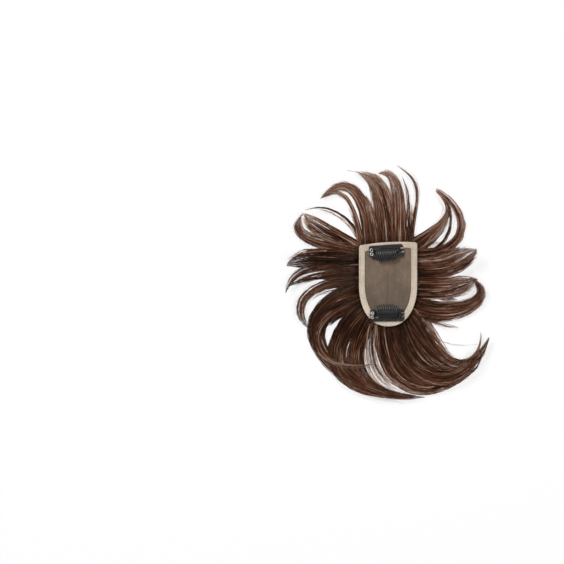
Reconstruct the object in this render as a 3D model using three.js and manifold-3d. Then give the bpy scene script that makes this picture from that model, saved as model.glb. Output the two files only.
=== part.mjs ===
// A clip-in hair topper that lies on its hair, with the scalp side of its base up.
// Millimetres, +Z up. +Y points to the straight end of the base, the front hairline.
// The plan is drawn about the centre of the base and moved at the end, so that the origin is on the surface that
// the hair lies on, under the middle of the whole piece.
import * as THREE from 'three';
import { mergeVertices } from 'three/addons/utils/BufferGeometryUtils.js';
import Module from 'manifold-3d';

const wasm = await Module();
wasm.setup();

// Clearances
const GAP = 0.3;

// Base: a net in a tape edge, straight in front and round behind, gently dished to the head
const BASE_WIDTH = 60;
const BASE_FRONT = 43.5;
const BASE_BACK = 43.4;
const FRONT_BOW = 1.6;
const CORNER_RADIUS = 3;
const INNER_CORNER_RADIUS = 1.6;
const ROUND_POWER = 2.2;
const NET_THICKNESS = 1;
const NET_LEVEL = 12;
const SIDE_LIFT = 2;
const END_LIFT = 2.6;

// Tape
const TAPE_WIDTH = 6.2;
const TAPE_THICKNESS = 1;
const TAPE_OVERHANG = 0.6;

// Clips: a sewn plate with a window, a rubber grip on its inner bar and a leaf of bent teeth hinged in the window
const CLIP_LENGTH = 35;
const CLIP_DEPTH = 12.4;
const CLIP_THICKNESS = 0.8;
const CLIP_CORNER = 2.2;
const CLIP_BAR = 3.4;
const CLIP_EAR = 5;
const BOW_BAR = 3;
const SEWING_HOLE = 1.5;
const LUG_WIDTH = 2.8;
const LUG_LENGTH = 1.6;
const PIN_RADIUS = 0.5;
const PIN_CLEARANCE = 0.3;
const PIN_LENGTH = 1.2;
const HINGE_SETBACK = 1.7;
const SPINE_WIDTH = 1.6;
const TOOTH_COUNT = 10;
const TOOTH_PITCH = 2.2;
const TOOTH_WIDTH = 1.1;
const TOOTH_THICKNESS = 0.7;
const TOOTH_REACH = 5.2;
const GRIP_THICKNESS = 1;
const GRIP_RIB = 0.35;
const GRIP_RIBS = 12;

// Where each clip sits on the base: the middle of its outer edge, and its turn
const CLIPS = {
  front: { across: -2.6, inset: 2.9, turn: 180 + 4 },
  back: { across: -1.1, inset: 5.2, turn: 1 },
};

// Hair: four sections, each a root pad under its part of the base with its locks fused to it
const HAIR_REACH = 120;
const LOCK_WIDTH = 20;
const LOCK_DEPTH = 8;
const TIP_DEPTH = 2.4;
const LOCK_RISE = 20;
const ROOT_LIFT = 1.6;
const LOCK_TUCK = 10;
const SKIRT = 7;
const SKIRT_TOP = 5.5;
const SKIRT_LIP = 1.2;
const PARTING_GAP = 0.6;

// The headings between which each section leaves the base, in degrees
const SECTIONS = {
  hair_front: { from: 55.4, to: 125 },
  hair_left: { from: 125, to: 172 },
  hair_back: { from: 172, to: 312 },
  hair_right: { from: 312, to: 415.4 },
};

// The locks. Roots are shares of the base's half width and of its front or back length, tips are shares of
// HAIR_REACH, headings are degrees, and a pull is the share of the lock's span over which it keeps that heading.
// Widths are shares of LOCK_WIDTH and of the lock's own width at its root, fade is how late the lock narrows,
// level is the share of LOCK_DEPTH that it lies above the surface, and rise the share of LOCK_RISE that its tip
// curls up.
const LOCK_COLUMNS = ['rootX', 'rootY', 'aim', 'tipX', 'tipY', 'tipAim', 'rootPull', 'tipPull', 'width', 'rootWidth',
  'fade', 'level', 'rise'];
const LOCKS = {
  hair_front: {
    stray_left: [-0.93, 0.97, 112, -0.71, 0.63, 205, 0.36, 0.38, 0.14, 1.2, 2.5, 0.2, 0.5],
    crest_inner: [-0.90, 1.00, 95, -0.56, 0.74, 222, 0.60, 0.50, 0.26, 1.3, 3.0, 0.1, 0.3],
    crest_outer: [-0.68, 1.00, 92, -0.58, 0.73, 229, 0.70, 0.61, 0.66, 0.9, 3.2, 0.0, 0.3],
    fill_left: [-0.42, 1.00, 95, -0.15, 0.70, 110, 0.35, 0.35, 0.50, 0.9, 2.0, 0.1, 0.2],
    crown_main: [0.00, 1.00, 90, -0.26, 0.96, 170, 0.75, 0.22, 1.00, 0.9, 3.5, 0.0, 0.5],
    crown_right: [0.46, 1.00, 90, -0.07, 0.94, 200, 0.60, 0.30, 0.64, 0.9, 4.0, 0.2, 0.5],
    fringe_right: [0.68, 1.00, 91, 0.13, 0.89, 115, 0.40, 0.35, 0.28, 1.2, 2.0, 0.0, 0.3],
    crown_wisp: [0.84, 1.00, 85, 0.11, 1.00, 150, 0.50, 0.38, 0.18, 1.4, 3.0, 0.0, 0.4],
  },
  hair_left: {
    hook_upper: [-0.97, 0.92, 152, -0.71, 0.60, 148, 0.33, 0.33, 0.44, 1.0, 6.0, 0.3, 0.9],
    hook_middle: [-0.97, 0.86, 163, -0.72, 0.61, 45, 0.62, 0.30, 0.42, 1.0, 4.0, 0.1, 0.8],
    hook_lower: [-0.98, 0.78, 176, -0.70, 0.60, 35, 0.55, 0.58, 0.40, 1.1, 2.5, 0.0, 0.6],
    blunt_left: [-1.00, 0.60, 178, -0.865, 0.15, 232, 0.50, 0.20, 0.62, 0.9, 6.0, 0.2, 0.8],
    fill_side: [-1.00, 0.43, 180, -0.70, 0.14, 190, 0.33, 0.33, 0.44, 1.0, 3.0, 0.0, 0.2],
    fork_upper: [-1.00, 0.34, 180, -0.875, -0.075, 252, 0.58, 0.32, 0.28, 1.4, 4.0, 0.2, 0.5],
    fork_lower: [-1.00, 0.22, 180, -0.86, -0.02, 205, 0.40, 0.30, 0.28, 1.3, 4.0, 0.0, 0.3],
  },
  hair_back: {
    ring_outer: [-1.00, 0.00, 184, -0.68, -0.38, 312, 0.58, 0.56, 0.50, 0.9, 4.0, 0.0, 0.4],
    sweep_outer: [-0.98, -0.18, 200, 0.23, -0.97, 2, 0.69, 0.84, 0.84, 1.0, 3.2, 0.1, 0.2],
    sweep_fill: [-0.93, -0.42, 212, -0.43, -0.30, 235, 0.33, 0.33, 0.60, 1.2, 2.0, 0.2, 0.0],
    sweep_inner: [-0.84, -0.62, 225, 0.10, -0.97, 352, 0.68, 0.64, 0.92, 1.0, 3.0, 0.3, 0.3],
    sweep_core: [-0.62, -0.84, 235, 0.24, -0.97, 3, 0.61, 0.61, 0.78, 1.1, 3.0, 0.0, 0.2],
    nape_left: [-0.20, -0.97, 270, 0.805, -0.565, 72, 0.92, 0.46, 0.94, 0.95, 3.0, 0.0, 0.3],
    nape_middle: [0.32, -0.95, 277, 0.79, -0.56, 70, 0.73, 0.55, 1.00, 1.0, 3.0, 0.3, 0.5],
    nape_right: [0.68, -0.82, 298, 0.86, -0.46, 67, 0.69, 0.53, 1.00, 1.0, 2.5, 0.1, 0.4],
  },
  hair_right: {
    cuff_lower: [0.95, -0.42, 337, 0.71, 0.062, 150, 0.69, 0.69, 0.95, 0.8, 2.2, 0.0, 0.5],
    cuff_upper: [1.00, 0.00, 355, 0.76, 0.055, 30, 0.45, 0.30, 0.84, 0.9, 8.0, 0.4, 0.8],
    blunt_right: [1.00, 0.40, 356, 0.76, 0.29, 40, 0.45, 0.30, 0.92, 1.0, 10.0, 0.1, 1.0],
    crescent: [1.00, 0.70, 0, 0.42, 0.82, 145, 0.78, 0.68, 0.62, 1.1, 2.6, 0.0, 0.3],
    crescent_hair: [1.00, 0.76, 1, 0.42, 0.80, 150, 0.55, 0.40, 0.10, 1.2, 4.0, 0.4, 0.4],
    fan_lower: [1.00, 0.84, 20, 0.42, 0.79, 145, 0.45, 0.62, 0.42, 1.2, 1.5, 0.1, 0.3],
    fan_right: [1.00, 0.93, 43, 0.41, 0.797, 144, 0.52, 0.58, 0.62, 0.7, 1.2, 0.2, 0.4],
  },
};
// Stations along a lock, as shares of its length, and the sides of its section
const LOCK_STATIONS = [0, 0.08, 0.18, 0.29, 0.4, 0.51, 0.62, 0.72, 0.81, 0.89, 0.95, 0.985];
const LOCK_SIDES = 8;
const flats = 1 / Math.cos(Math.PI / LOCK_SIDES);

// Finishes
const hairFinish = new THREE.MeshStandardMaterial({ color: 0x5a3729, roughness: 0.5, metalness: 0 });
const netFinish = new THREE.MeshStandardMaterial({ color: 0x84796a, roughness: 0.85, metalness: 0 });
const tapeFinish = new THREE.MeshStandardMaterial({ color: 0xd8ccba, roughness: 0.8, metalness: 0 });
const steelFinish = new THREE.MeshStandardMaterial({ color: 0x1b1a1b, roughness: 0.3, metalness: 0.7 });
const rubberFinish = new THREE.MeshStandardMaterial({ color: 0x2b292a, roughness: 0.7, metalness: 0 });

const radians = THREE.MathUtils.degToRad;
const smooth = THREE.MathUtils.smoothstep;

// Solids and meshes

function solidOf(geometry) {
  const bare = geometry.clone();
  bare.deleteAttribute('normal');
  bare.deleteAttribute('uv');
  const merged = mergeVertices(bare, 1e-4);
  const vertProperties = new Float32Array(merged.attributes.position.array);
  const triVerts = new Uint32Array(merged.index.array);
  return new wasm.Manifold(new wasm.Mesh({ numProp: 3, vertProperties, triVerts }));
}

function geometryOf(solid) {
  const { vertProperties, triVerts, numProp } = solid.getMesh();
  const positions = new Float32Array((vertProperties.length / numProp) * 3);
  for (let i = 0; i < positions.length / 3; i += 1) {
    positions.set(vertProperties.subarray(i * numProp, i * numProp + 3), i * 3);
  }
  const geometry = new THREE.BufferGeometry();
  geometry.setAttribute('position', new THREE.BufferAttribute(positions, 3));
  geometry.setIndex(new THREE.BufferAttribute(new Uint32Array(triVerts), 1));
  geometry.computeVertexNormals();
  return geometry;
}

function named(name, geometry, material) {
  const mesh = new THREE.Mesh(geometry, material);
  mesh.name = name;
  return mesh;
}

// A closed skin over rings of points. A row of rings with ends is closed by a point at each end,
// and rings without ends run round and meet again.
function skin(rings, ends) {
  const sides = rings[0].length;
  const points = rings.flat();
  const faces = [];
  const spans = ends ? rings.length - 1 : rings.length;
  for (let ring = 0; ring < spans; ring += 1) {
    const next = (ring + 1) % rings.length;
    for (let side = 0; side < sides; side += 1) {
      const turn = (side + 1) % sides;
      const a = ring * sides + side;
      const b = ring * sides + turn;
      const c = next * sides + turn;
      const d = next * sides + side;
      faces.push(a, b, c, a, c, d);
    }
  }
  if (ends) {
    const first = points.push(ends[0]) - 1;
    const last = points.push(ends[1]) - 1;
    const start = (rings.length - 1) * sides;
    for (let side = 0; side < sides; side += 1) {
      const turn = (side + 1) % sides;
      faces.push(first, turn, side);
      faces.push(last, start + side, start + turn);
    }
  }
  const geometry = new THREE.BufferGeometry().setFromPoints(points);
  geometry.setIndex(faces);
  return geometry;
}

// Base

// The base's edge, moved in by inset, or out where that is negative: anticlockwise points from above.
function baseOutline(inset) {
  const half = BASE_WIDTH / 2 - inset;
  const front = BASE_FRONT - inset;
  const back = BASE_BACK - inset;
  const radius = Math.max(CORNER_RADIUS - inset, INNER_CORNER_RADIUS);
  const bowed = (x) => front - FRONT_BOW * (x / half) ** 2;
  const shoulder = bowed(half) - radius;
  const points = [];
  const sideSteps = 4;
  const cornerSteps = 3;
  const frontSteps = 8;
  const roundSteps = 20;
  for (let i = 0; i < sideSteps; i += 1) {
    points.push([half, (shoulder * i) / sideSteps]);
  }
  for (let i = 0; i < cornerSteps; i += 1) {
    const angle = radians((90 * i) / cornerSteps);
    points.push([half - radius + radius * Math.cos(angle), shoulder + radius * Math.sin(angle)]);
  }
  for (let i = 0; i <= frontSteps; i += 1) {
    const x = (half - radius) * (1 - (2 * i) / frontSteps);
    points.push([x, bowed(x) - (bowed(half - radius) - bowed(half)) * (x / (half - radius)) ** 2]);
  }
  for (let i = 1; i <= cornerSteps; i += 1) {
    const angle = radians(90 + (90 * i) / cornerSteps);
    points.push([-half + radius + radius * Math.cos(angle), shoulder + radius * Math.sin(angle)]);
  }
  for (let i = 1; i < sideSteps; i += 1) {
    points.push([-half, shoulder * (1 - i / sideSteps)]);
  }
  for (let i = 0; i < roundSteps; i += 1) {
    const angle = radians(180 + (180 * i) / roundSteps);
    const across = Math.sign(Math.cos(angle)) * Math.abs(Math.cos(angle)) ** (2 / ROUND_POWER);
    const along = -(Math.abs(Math.sin(angle)) ** (2 / ROUND_POWER));
    points.push([half * across, back * along]);
  }
  return points;
}

// The dish of the base: the height of the net's upper face over the surface that the hair lies on.
function netTop(x, y) {
  const end = y > 0 ? BASE_FRONT : BASE_BACK;
  return NET_LEVEL + SIDE_LIFT * (x / (BASE_WIDTH / 2)) ** 2 + END_LIFT * (y / end) ** 2;
}

// A ring of the base's outline, shrunk to a share of its size, at a height that depends on the place.
function baseRing(inset, share, height) {
  return baseOutline(inset).map(([x, y]) => new THREE.Vector3(x * share, y * share, height(x * share, y * share)));
}

function baseNet() {
  const inset = TAPE_OVERHANG;
  const under = (x, y) => netTop(x, y) - NET_THICKNESS;
  const shares = [0.35, 0.7, 1];
  const rings = [
    ...shares.map((share) => baseRing(inset, share, netTop)),
    ...shares.map((share) => baseRing(inset, share, under)).reverse(),
  ];
  const ends = [new THREE.Vector3(0, 0, netTop(0, 0)), new THREE.Vector3(0, 0, under(0, 0))];
  return named('base_net', skin(rings.reverse(), ends.reverse()), netFinish);
}

function edgeTape() {
  const foot = (x, y) => netTop(x, y) + GAP;
  const shoulder = (x, y) => foot(x, y) + TAPE_THICKNESS * 0.6;
  const crown = (x, y) => foot(x, y) + TAPE_THICKNESS;
  const bevel = TAPE_WIDTH * 0.12;
  const rings = [
    baseRing(0, 1, foot),
    baseRing(0, 1, shoulder),
    baseRing(bevel, 1, crown),
    baseRing(TAPE_WIDTH - bevel, 1, crown),
    baseRing(TAPE_WIDTH, 1, shoulder),
    baseRing(TAPE_WIDTH, 1, foot),
  ];
  return named('edge_tape', skin(rings, null), tapeFinish);
}

// Clips. A clip is drawn with X along it, Y inwards from its outer edge and Z up from the plate's underside.

const windowHalf = CLIP_LENGTH / 2 - CLIP_EAR;
const windowNear = CLIP_BAR;
const windowFar = CLIP_DEPTH - BOW_BAR;
const hingeY = windowNear + HINGE_SETBACK;
const hingeZ = CLIP_THICKNESS + PIN_RADIUS + PIN_CLEARANCE;

function roundedPlate(length, depth, radius) {
  const half = length / 2;
  const shape = new THREE.Shape();
  shape.moveTo(-half + radius, 0);
  shape.lineTo(half - radius, 0);
  shape.absarc(half - radius, radius, radius, -Math.PI / 2, 0);
  shape.lineTo(half, depth - radius);
  shape.absarc(half - radius, depth - radius, radius, 0, Math.PI / 2);
  shape.lineTo(-half + radius, depth);
  shape.absarc(-half + radius, depth - radius, radius, Math.PI / 2, Math.PI);
  shape.lineTo(-half, radius);
  shape.absarc(-half + radius, radius, radius, Math.PI, Math.PI * 1.5);
  return shape;
}

function clipFrame() {
  const shape = roundedPlate(CLIP_LENGTH, CLIP_DEPTH, CLIP_CORNER);
  const opening = new THREE.Path();
  opening.moveTo(-windowHalf, windowNear);
  opening.lineTo(-windowHalf, windowFar);
  opening.lineTo(windowHalf, windowFar);
  opening.lineTo(windowHalf, windowNear);
  opening.closePath();
  shape.holes.push(opening);
  const earMiddle = (CLIP_LENGTH / 2 + windowHalf) / 2;
  for (const side of [-1, 1]) {
    for (const share of [0.36, 0.7]) {
      const hole = new THREE.Path();
      hole.absarc(side * earMiddle, CLIP_DEPTH * share, SEWING_HOLE / 2, 0, Math.PI * 2, true);
      shape.holes.push(hole);
    }
  }
  const plate = new THREE.ExtrudeGeometry(shape, { depth: CLIP_THICKNESS, bevelEnabled: false, curveSegments: 5 });
  let solid = solidOf(plate);
  const lugHeight = hingeZ + PIN_RADIUS + PIN_CLEARANCE + GAP * 2;
  for (const side of [-1, 1]) {
    const lug = new THREE.BoxGeometry(LUG_LENGTH, LUG_WIDTH, lugHeight);
    lug.translate(side * (windowHalf + LUG_LENGTH / 2 - GAP), hingeY, lugHeight / 2);
    solid = solid.add(solidOf(lug));
  }
  const bore = new THREE.CylinderGeometry(PIN_RADIUS + PIN_CLEARANCE, PIN_RADIUS + PIN_CLEARANCE,
    2 * (windowHalf + PIN_LENGTH + GAP), 10);
  bore.rotateZ(Math.PI / 2);
  bore.translate(0, hingeY, hingeZ);
  solid = solid.subtract(solidOf(bore));
  return geometryOf(solid);
}

function clipGrip() {
  const half = windowHalf - GAP;
  const pitch = (2 * half) / GRIP_RIBS;
  const shape = new THREE.Shape();
  shape.moveTo(-half, 0);
  shape.lineTo(half, 0);
  for (let rib = GRIP_RIBS - 1; rib >= 0; rib -= 1) {
    const left = -half + rib * pitch;
    shape.lineTo(left + pitch, GRIP_THICKNESS - GRIP_RIB);
    shape.lineTo(left + pitch * 0.75, GRIP_THICKNESS);
    shape.lineTo(left + pitch * 0.25, GRIP_THICKNESS);
  }
  shape.lineTo(-half, GRIP_THICKNESS - GRIP_RIB);
  shape.closePath();
  const strip = new THREE.ExtrudeGeometry(shape, { depth: BOW_BAR * 0.8, bevelEnabled: false });
  strip.rotateX(Math.PI / 2);
  strip.translate(0, CLIP_DEPTH - BOW_BAR * 0.1, CLIP_THICKNESS + GAP);
  return strip;
}

// The side of one tooth about the hinge: out of the spine, up over the grip and down to its tip.
function toothProfile() {
  const over = CLIP_THICKNESS + GAP + GRIP_THICKNESS + GAP + TOOTH_THICKNESS / 2 + 0.3 - hingeZ;
  const crest = CLIP_DEPTH - BOW_BAR / 2 - hingeY;
  const reach = CLIP_DEPTH + TOOTH_REACH - hingeY;
  const curve = new THREE.CatmullRomCurve3([
    new THREE.Vector3(0, 0, 0),
    new THREE.Vector3(crest * 0.5, over * 0.8, 0),
    new THREE.Vector3(crest, over, 0),
    new THREE.Vector3(crest + (reach - crest) * 0.55, over * 0.55, 0),
    new THREE.Vector3(reach, -hingeZ + CLIP_THICKNESS + TOOTH_THICKNESS / 2, 0),
  ]);
  const steps = 7;
  const upper = [];
  const lower = [];
  for (let i = 0; i <= steps; i += 1) {
    const point = curve.getPoint(i / steps);
    const along = curve.getTangent(i / steps);
    const half = (TOOTH_THICKNESS / 2) * (i === steps ? 0.5 : 1);
    upper.push([point.x - along.y * half, point.y + along.x * half]);
    lower.push([point.x + along.y * half, point.y - along.x * half]);
  }
  return [...lower, ...upper.reverse()];
}

function clipComb() {
  const profile = toothProfile();
  const shape = new THREE.Shape(profile.map(([y, z]) => new THREE.Vector2(y, z)));
  const spineLength = 2 * (windowHalf - GAP * 2);
  const spine = new THREE.BoxGeometry(spineLength, SPINE_WIDTH, 2 * PIN_RADIUS);
  let solid = solidOf(spine);
  const pin = new THREE.CylinderGeometry(PIN_RADIUS, PIN_RADIUS, 2 * (windowHalf + PIN_LENGTH - GAP), 8);
  pin.rotateZ(Math.PI / 2);
  solid = solid.add(solidOf(pin));
  for (let i = 0; i < TOOTH_COUNT; i += 1) {
    const tooth = new THREE.ExtrudeGeometry(shape, { depth: TOOTH_WIDTH, bevelEnabled: false });
    tooth.rotateX(Math.PI / 2);
    tooth.rotateZ(Math.PI / 2);
    tooth.translate((i - (TOOTH_COUNT - 1) / 2) * TOOTH_PITCH - TOOTH_WIDTH / 2, 0, 0);
    solid = solid.add(solidOf(tooth));
  }
  return geometryOf(solid);
}

function clip(name) {
  const place = CLIPS[name];
  const group = new THREE.Group();
  const front = name === 'front';
  const y = front ? BASE_FRONT - place.inset : -BASE_BACK + place.inset;
  const corners = [-1, 1].map((side) => netTop(place.across + (side * CLIP_LENGTH) / 2, y));
  group.position.set(place.across, y, Math.max(...corners) + GAP + TAPE_THICKNESS + GAP);
  group.rotation.z = radians(place.turn);
  const comb = named(`${name}_clip_comb`, clipComb(), steelFinish);
  comb.position.set(0, hingeY, hingeZ);
  group.add(named(`${name}_clip_frame`, clipFrame(), steelFinish));
  group.add(named(`${name}_clip_grip`, clipGrip(), rubberFinish));
  group.add(comb);
  return group;
}

// Hair

// The whole root pad: flat on the surface, close under the net, and sloping off to a skirt beyond its edge.
function rootPad() {
  const under = (x, y) => netTop(x, y) - NET_THICKNESS - GAP;
  const level = (height) => () => height;
  const rings = [
    baseRing(TAPE_OVERHANG, 0.35, under),
    baseRing(TAPE_OVERHANG, 0.7, under),
    baseRing(TAPE_OVERHANG, 1, under),
    baseRing(-SKIRT * 0.5, 1, (x, y) => (under(x, y) + SKIRT_TOP) / 2),
    baseRing(-SKIRT, 1, level(SKIRT_TOP)),
    baseRing(-SKIRT, 1, level(SKIRT_LIP)),
    baseRing(-SKIRT * 0.7, 1, level(0)),
    baseRing(0, 0.5, level(0)),
  ];
  const ends = [new THREE.Vector3(0, 0, under(0, 0)), new THREE.Vector3(0, 0, 0)];
  return solidOf(skin(rings.reverse(), ends.reverse()));
}

function lockRow(values) {
  return Object.fromEntries(LOCK_COLUMNS.map((column, i) => [column, values[i]]));
}

function heading(degrees) {
  return new THREE.Vector3(Math.cos(radians(degrees)), Math.sin(radians(degrees)), 0);
}

// One lock: an oval that runs along a curve in plan, from under the base to its tip.
function lockSolid(row) {
  const root = new THREE.Vector3(
    row.rootX * (BASE_WIDTH / 2),
    row.rootY * (row.rootY > 0 ? BASE_FRONT : BASE_BACK),
    0,
  );
  const tip = new THREE.Vector3(row.tipX, row.tipY, 0).multiplyScalar(HAIR_REACH);
  const span = root.distanceTo(tip);
  const curve = new THREE.CubicBezierCurve3(
    root,
    root.clone().addScaledVector(heading(row.aim), row.rootPull * span),
    tip.clone().addScaledVector(heading(row.tipAim), -row.tipPull * span),
    tip,
  );
  const depthShare = 0.4 + 0.6 * Math.min(1, row.width / 0.6);
  const level = row.level * LOCK_DEPTH * depthShare;
  const oval = (v, middle, aim) => {
    const belly = row.rootWidth + (1 - row.rootWidth) * Math.min(1, v / 0.4);
    const close = 1 - v ** row.fade;
    const halfWidth = (LOCK_WIDTH / 2) * row.width * belly * close;
    const depth = LOCK_DEPTH * depthShare + (TIP_DEPTH - LOCK_DEPTH * depthShare) * v ** 0.7;
    const halfDepth = (depth / 2) * Math.sqrt(close);
    const rise = row.rise * LOCK_RISE * smooth(v, 0.35, 1) ** 1.5;
    const height = halfDepth + level * smooth(v, 0, 0.3) + ROOT_LIFT * (1 - smooth(v, 0, 0.3)) + rise;
    const ring = [];
    for (let side = 0; side < LOCK_SIDES; side += 1) {
      const angle = ((side + 0.5) / LOCK_SIDES) * Math.PI * 2;
      const off = halfWidth * Math.cos(angle) * flats;
      const up = height + halfDepth * Math.sin(angle) * flats;
      ring.push(new THREE.Vector3(middle.x - aim.y * off, middle.y + aim.x * off, up));
    }
    return { ring, height };
  };
  const tucked = root.clone().addScaledVector(heading(row.aim), -LOCK_TUCK);
  const first = oval(0, tucked, heading(row.aim));
  const rings = [first.ring];
  for (const v of LOCK_STATIONS) {
    rings.push(oval(v, curve.getPointAt(v), curve.getTangentAt(v)).ring);
  }
  const last = oval(1, tip, heading(row.tipAim));
  const ends = [
    tucked.clone().setZ(first.height),
    tip.clone().setZ(last.height),
  ];
  return solidOf(skin(rings, ends));
}

// The half of the plan on one side of a heading from the middle of the base, as far out as the corner of the skirt.
function beyondParting(degrees, side) {
  const reach = Math.hypot(BASE_WIDTH / 2, BASE_FRONT) + SKIRT;
  const width = reach * 1.2;
  const block = new THREE.BoxGeometry(2 * reach, width, 4 * NET_LEVEL);
  block.translate(0, side * (width / 2 - PARTING_GAP / 2), NET_LEVEL);
  block.rotateZ(radians(degrees));
  return solidOf(block);
}

function hairSection(name) {
  let solid = rootPad();
  for (const values of Object.values(LOCKS[name])) {
    solid = solid.add(lockSolid(lockRow(values)));
  }
  solid = solid.subtract(beyondParting(SECTIONS[name].from, -1));
  solid = solid.subtract(beyondParting(SECTIONS[name].to, 1));
  return named(name, geometryOf(solid), hairFinish);
}

// The whole piece
const topper = new THREE.Group();
topper.add(baseNet());
topper.add(edgeTape());
topper.add(clip('front'));
topper.add(clip('back'));
for (const name of Object.keys(SECTIONS)) {
  topper.add(hairSection(name));
}

const bounds = new THREE.Box3().setFromObject(topper);
const middle = bounds.getCenter(new THREE.Vector3());
topper.position.set(-middle.x, -middle.y, -bounds.min.z);

const group = new THREE.Group();
group.add(topper);
export default group;
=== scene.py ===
"""Looks of a clip-in hair topper that lies on its hair, with the scalp side of its base up.

Metres, +Z up. The plan is drawn in millimetres about the centre of the base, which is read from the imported
frame, and +Y points to the straight front end of the base. Curves and widths are worked out as whole arrays.
"""

from __future__ import annotations

import logging
import math
from dataclasses import dataclass, field
from enum import Enum

import bmesh
import bpy
import numpy as np
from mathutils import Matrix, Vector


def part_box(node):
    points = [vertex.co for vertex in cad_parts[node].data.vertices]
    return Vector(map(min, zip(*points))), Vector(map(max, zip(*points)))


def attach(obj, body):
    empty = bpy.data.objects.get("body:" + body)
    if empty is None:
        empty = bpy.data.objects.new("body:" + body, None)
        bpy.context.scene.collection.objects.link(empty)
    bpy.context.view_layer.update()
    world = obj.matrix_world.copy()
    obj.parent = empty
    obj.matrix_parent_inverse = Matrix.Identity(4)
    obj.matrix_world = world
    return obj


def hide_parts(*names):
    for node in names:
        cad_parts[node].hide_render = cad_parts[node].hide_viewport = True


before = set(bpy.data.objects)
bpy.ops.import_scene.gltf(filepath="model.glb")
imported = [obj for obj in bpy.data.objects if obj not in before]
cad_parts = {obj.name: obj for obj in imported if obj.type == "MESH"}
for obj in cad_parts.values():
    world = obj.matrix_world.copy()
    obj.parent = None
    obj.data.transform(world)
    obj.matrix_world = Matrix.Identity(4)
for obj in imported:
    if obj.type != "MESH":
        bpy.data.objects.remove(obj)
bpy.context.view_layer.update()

LOG = logging.getLogger("hair_topper")
MM = 0.001
BODY = "hairpiece"

# The photograph's frame: its side in pixels, the middle of the base in it, and a pixel's size in millimetres
PHOTO_SIDE = 564
BASE_PIXEL = (388.1, 284.3)
PIXEL = 60 / 58.2

SEWING_SEED = 11


class Section(Enum):
    """The groups of locks that are made as one piece each, by the way that they leave the base."""

    FRONT = "front"
    LEFT = "left"
    SWEEP = "sweep"
    NAPE = "nape"
    RIGHT = "right"


SECTION_NODES = {
    Section.FRONT: "hair_front",
    Section.LEFT: "hair_left",
    Section.SWEEP: "hair_back",
    Section.NAPE: "hair_back",
    Section.RIGHT: "hair_right",
}


# Grids and meshes


def smoothstep(value: np.ndarray, low: float, high: float) -> np.ndarray:
    """0 below low, 1 above high, and 3t² - 2t³ between them.

    Args:
        value: Numbers to turn into shares.
        low: Where the step begins.
        high: Where the step ends.

    Returns:
        Shares from 0 to 1, in the shape of value.
    """
    share = np.clip((value - low) / (high - low), 0, 1)
    return share * share * (3 - 2 * share)


def grid_quads(rows: int, columns: int, wrap_rows: bool = False, wrap_columns: bool = True) -> np.ndarray:
    """Quads of a grid whose points are numbered row by row.

    Args:
        rows: Rows of points.
        columns: Points in a row.
        wrap_rows: Whether the last row meets the first.
        wrap_columns: Whether each row closes on itself.

    Returns:
        Point numbers, four for each quad.
    """
    row = np.arange(rows if wrap_rows else rows - 1)
    column = np.arange(columns if wrap_columns else columns - 1)
    row, column = np.meshgrid(row, column, indexing="ij")
    next_row = (row + 1) % rows
    next_column = (column + 1) % columns
    corners = [row * columns + column, row * columns + next_column]
    corners += [next_row * columns + next_column, next_row * columns + column]
    return np.stack(corners, -1).reshape(-1, 4)


def end_fans(rows: int, columns: int) -> np.ndarray:
    """Triangles that close a grid's first and last rows on two more points, numbered after the grid's own.

    Args:
        rows: Rows of points.
        columns: Points in a row, which closes on itself.

    Returns:
        Point numbers, three for each triangle.
    """
    ring = np.arange(columns)
    after = (ring + 1) % columns
    last = (rows - 1) * columns
    root = np.stack([after, ring, np.full(columns, rows * columns)], -1)
    tip = np.stack([last + ring, last + after, np.full(columns, rows * columns + 1)], -1)
    return np.concatenate([root, tip])


def linked(name: str, data: bpy.types.ID) -> bpy.types.Object:
    """A new object in the scene.

    Args:
        name: Name of the object.
        data: Mesh, lamp or camera that it shows.

    Returns:
        The object.
    """
    made = bpy.data.objects.new(name, data)
    bpy.context.scene.collection.objects.link(made)
    return made


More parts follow.
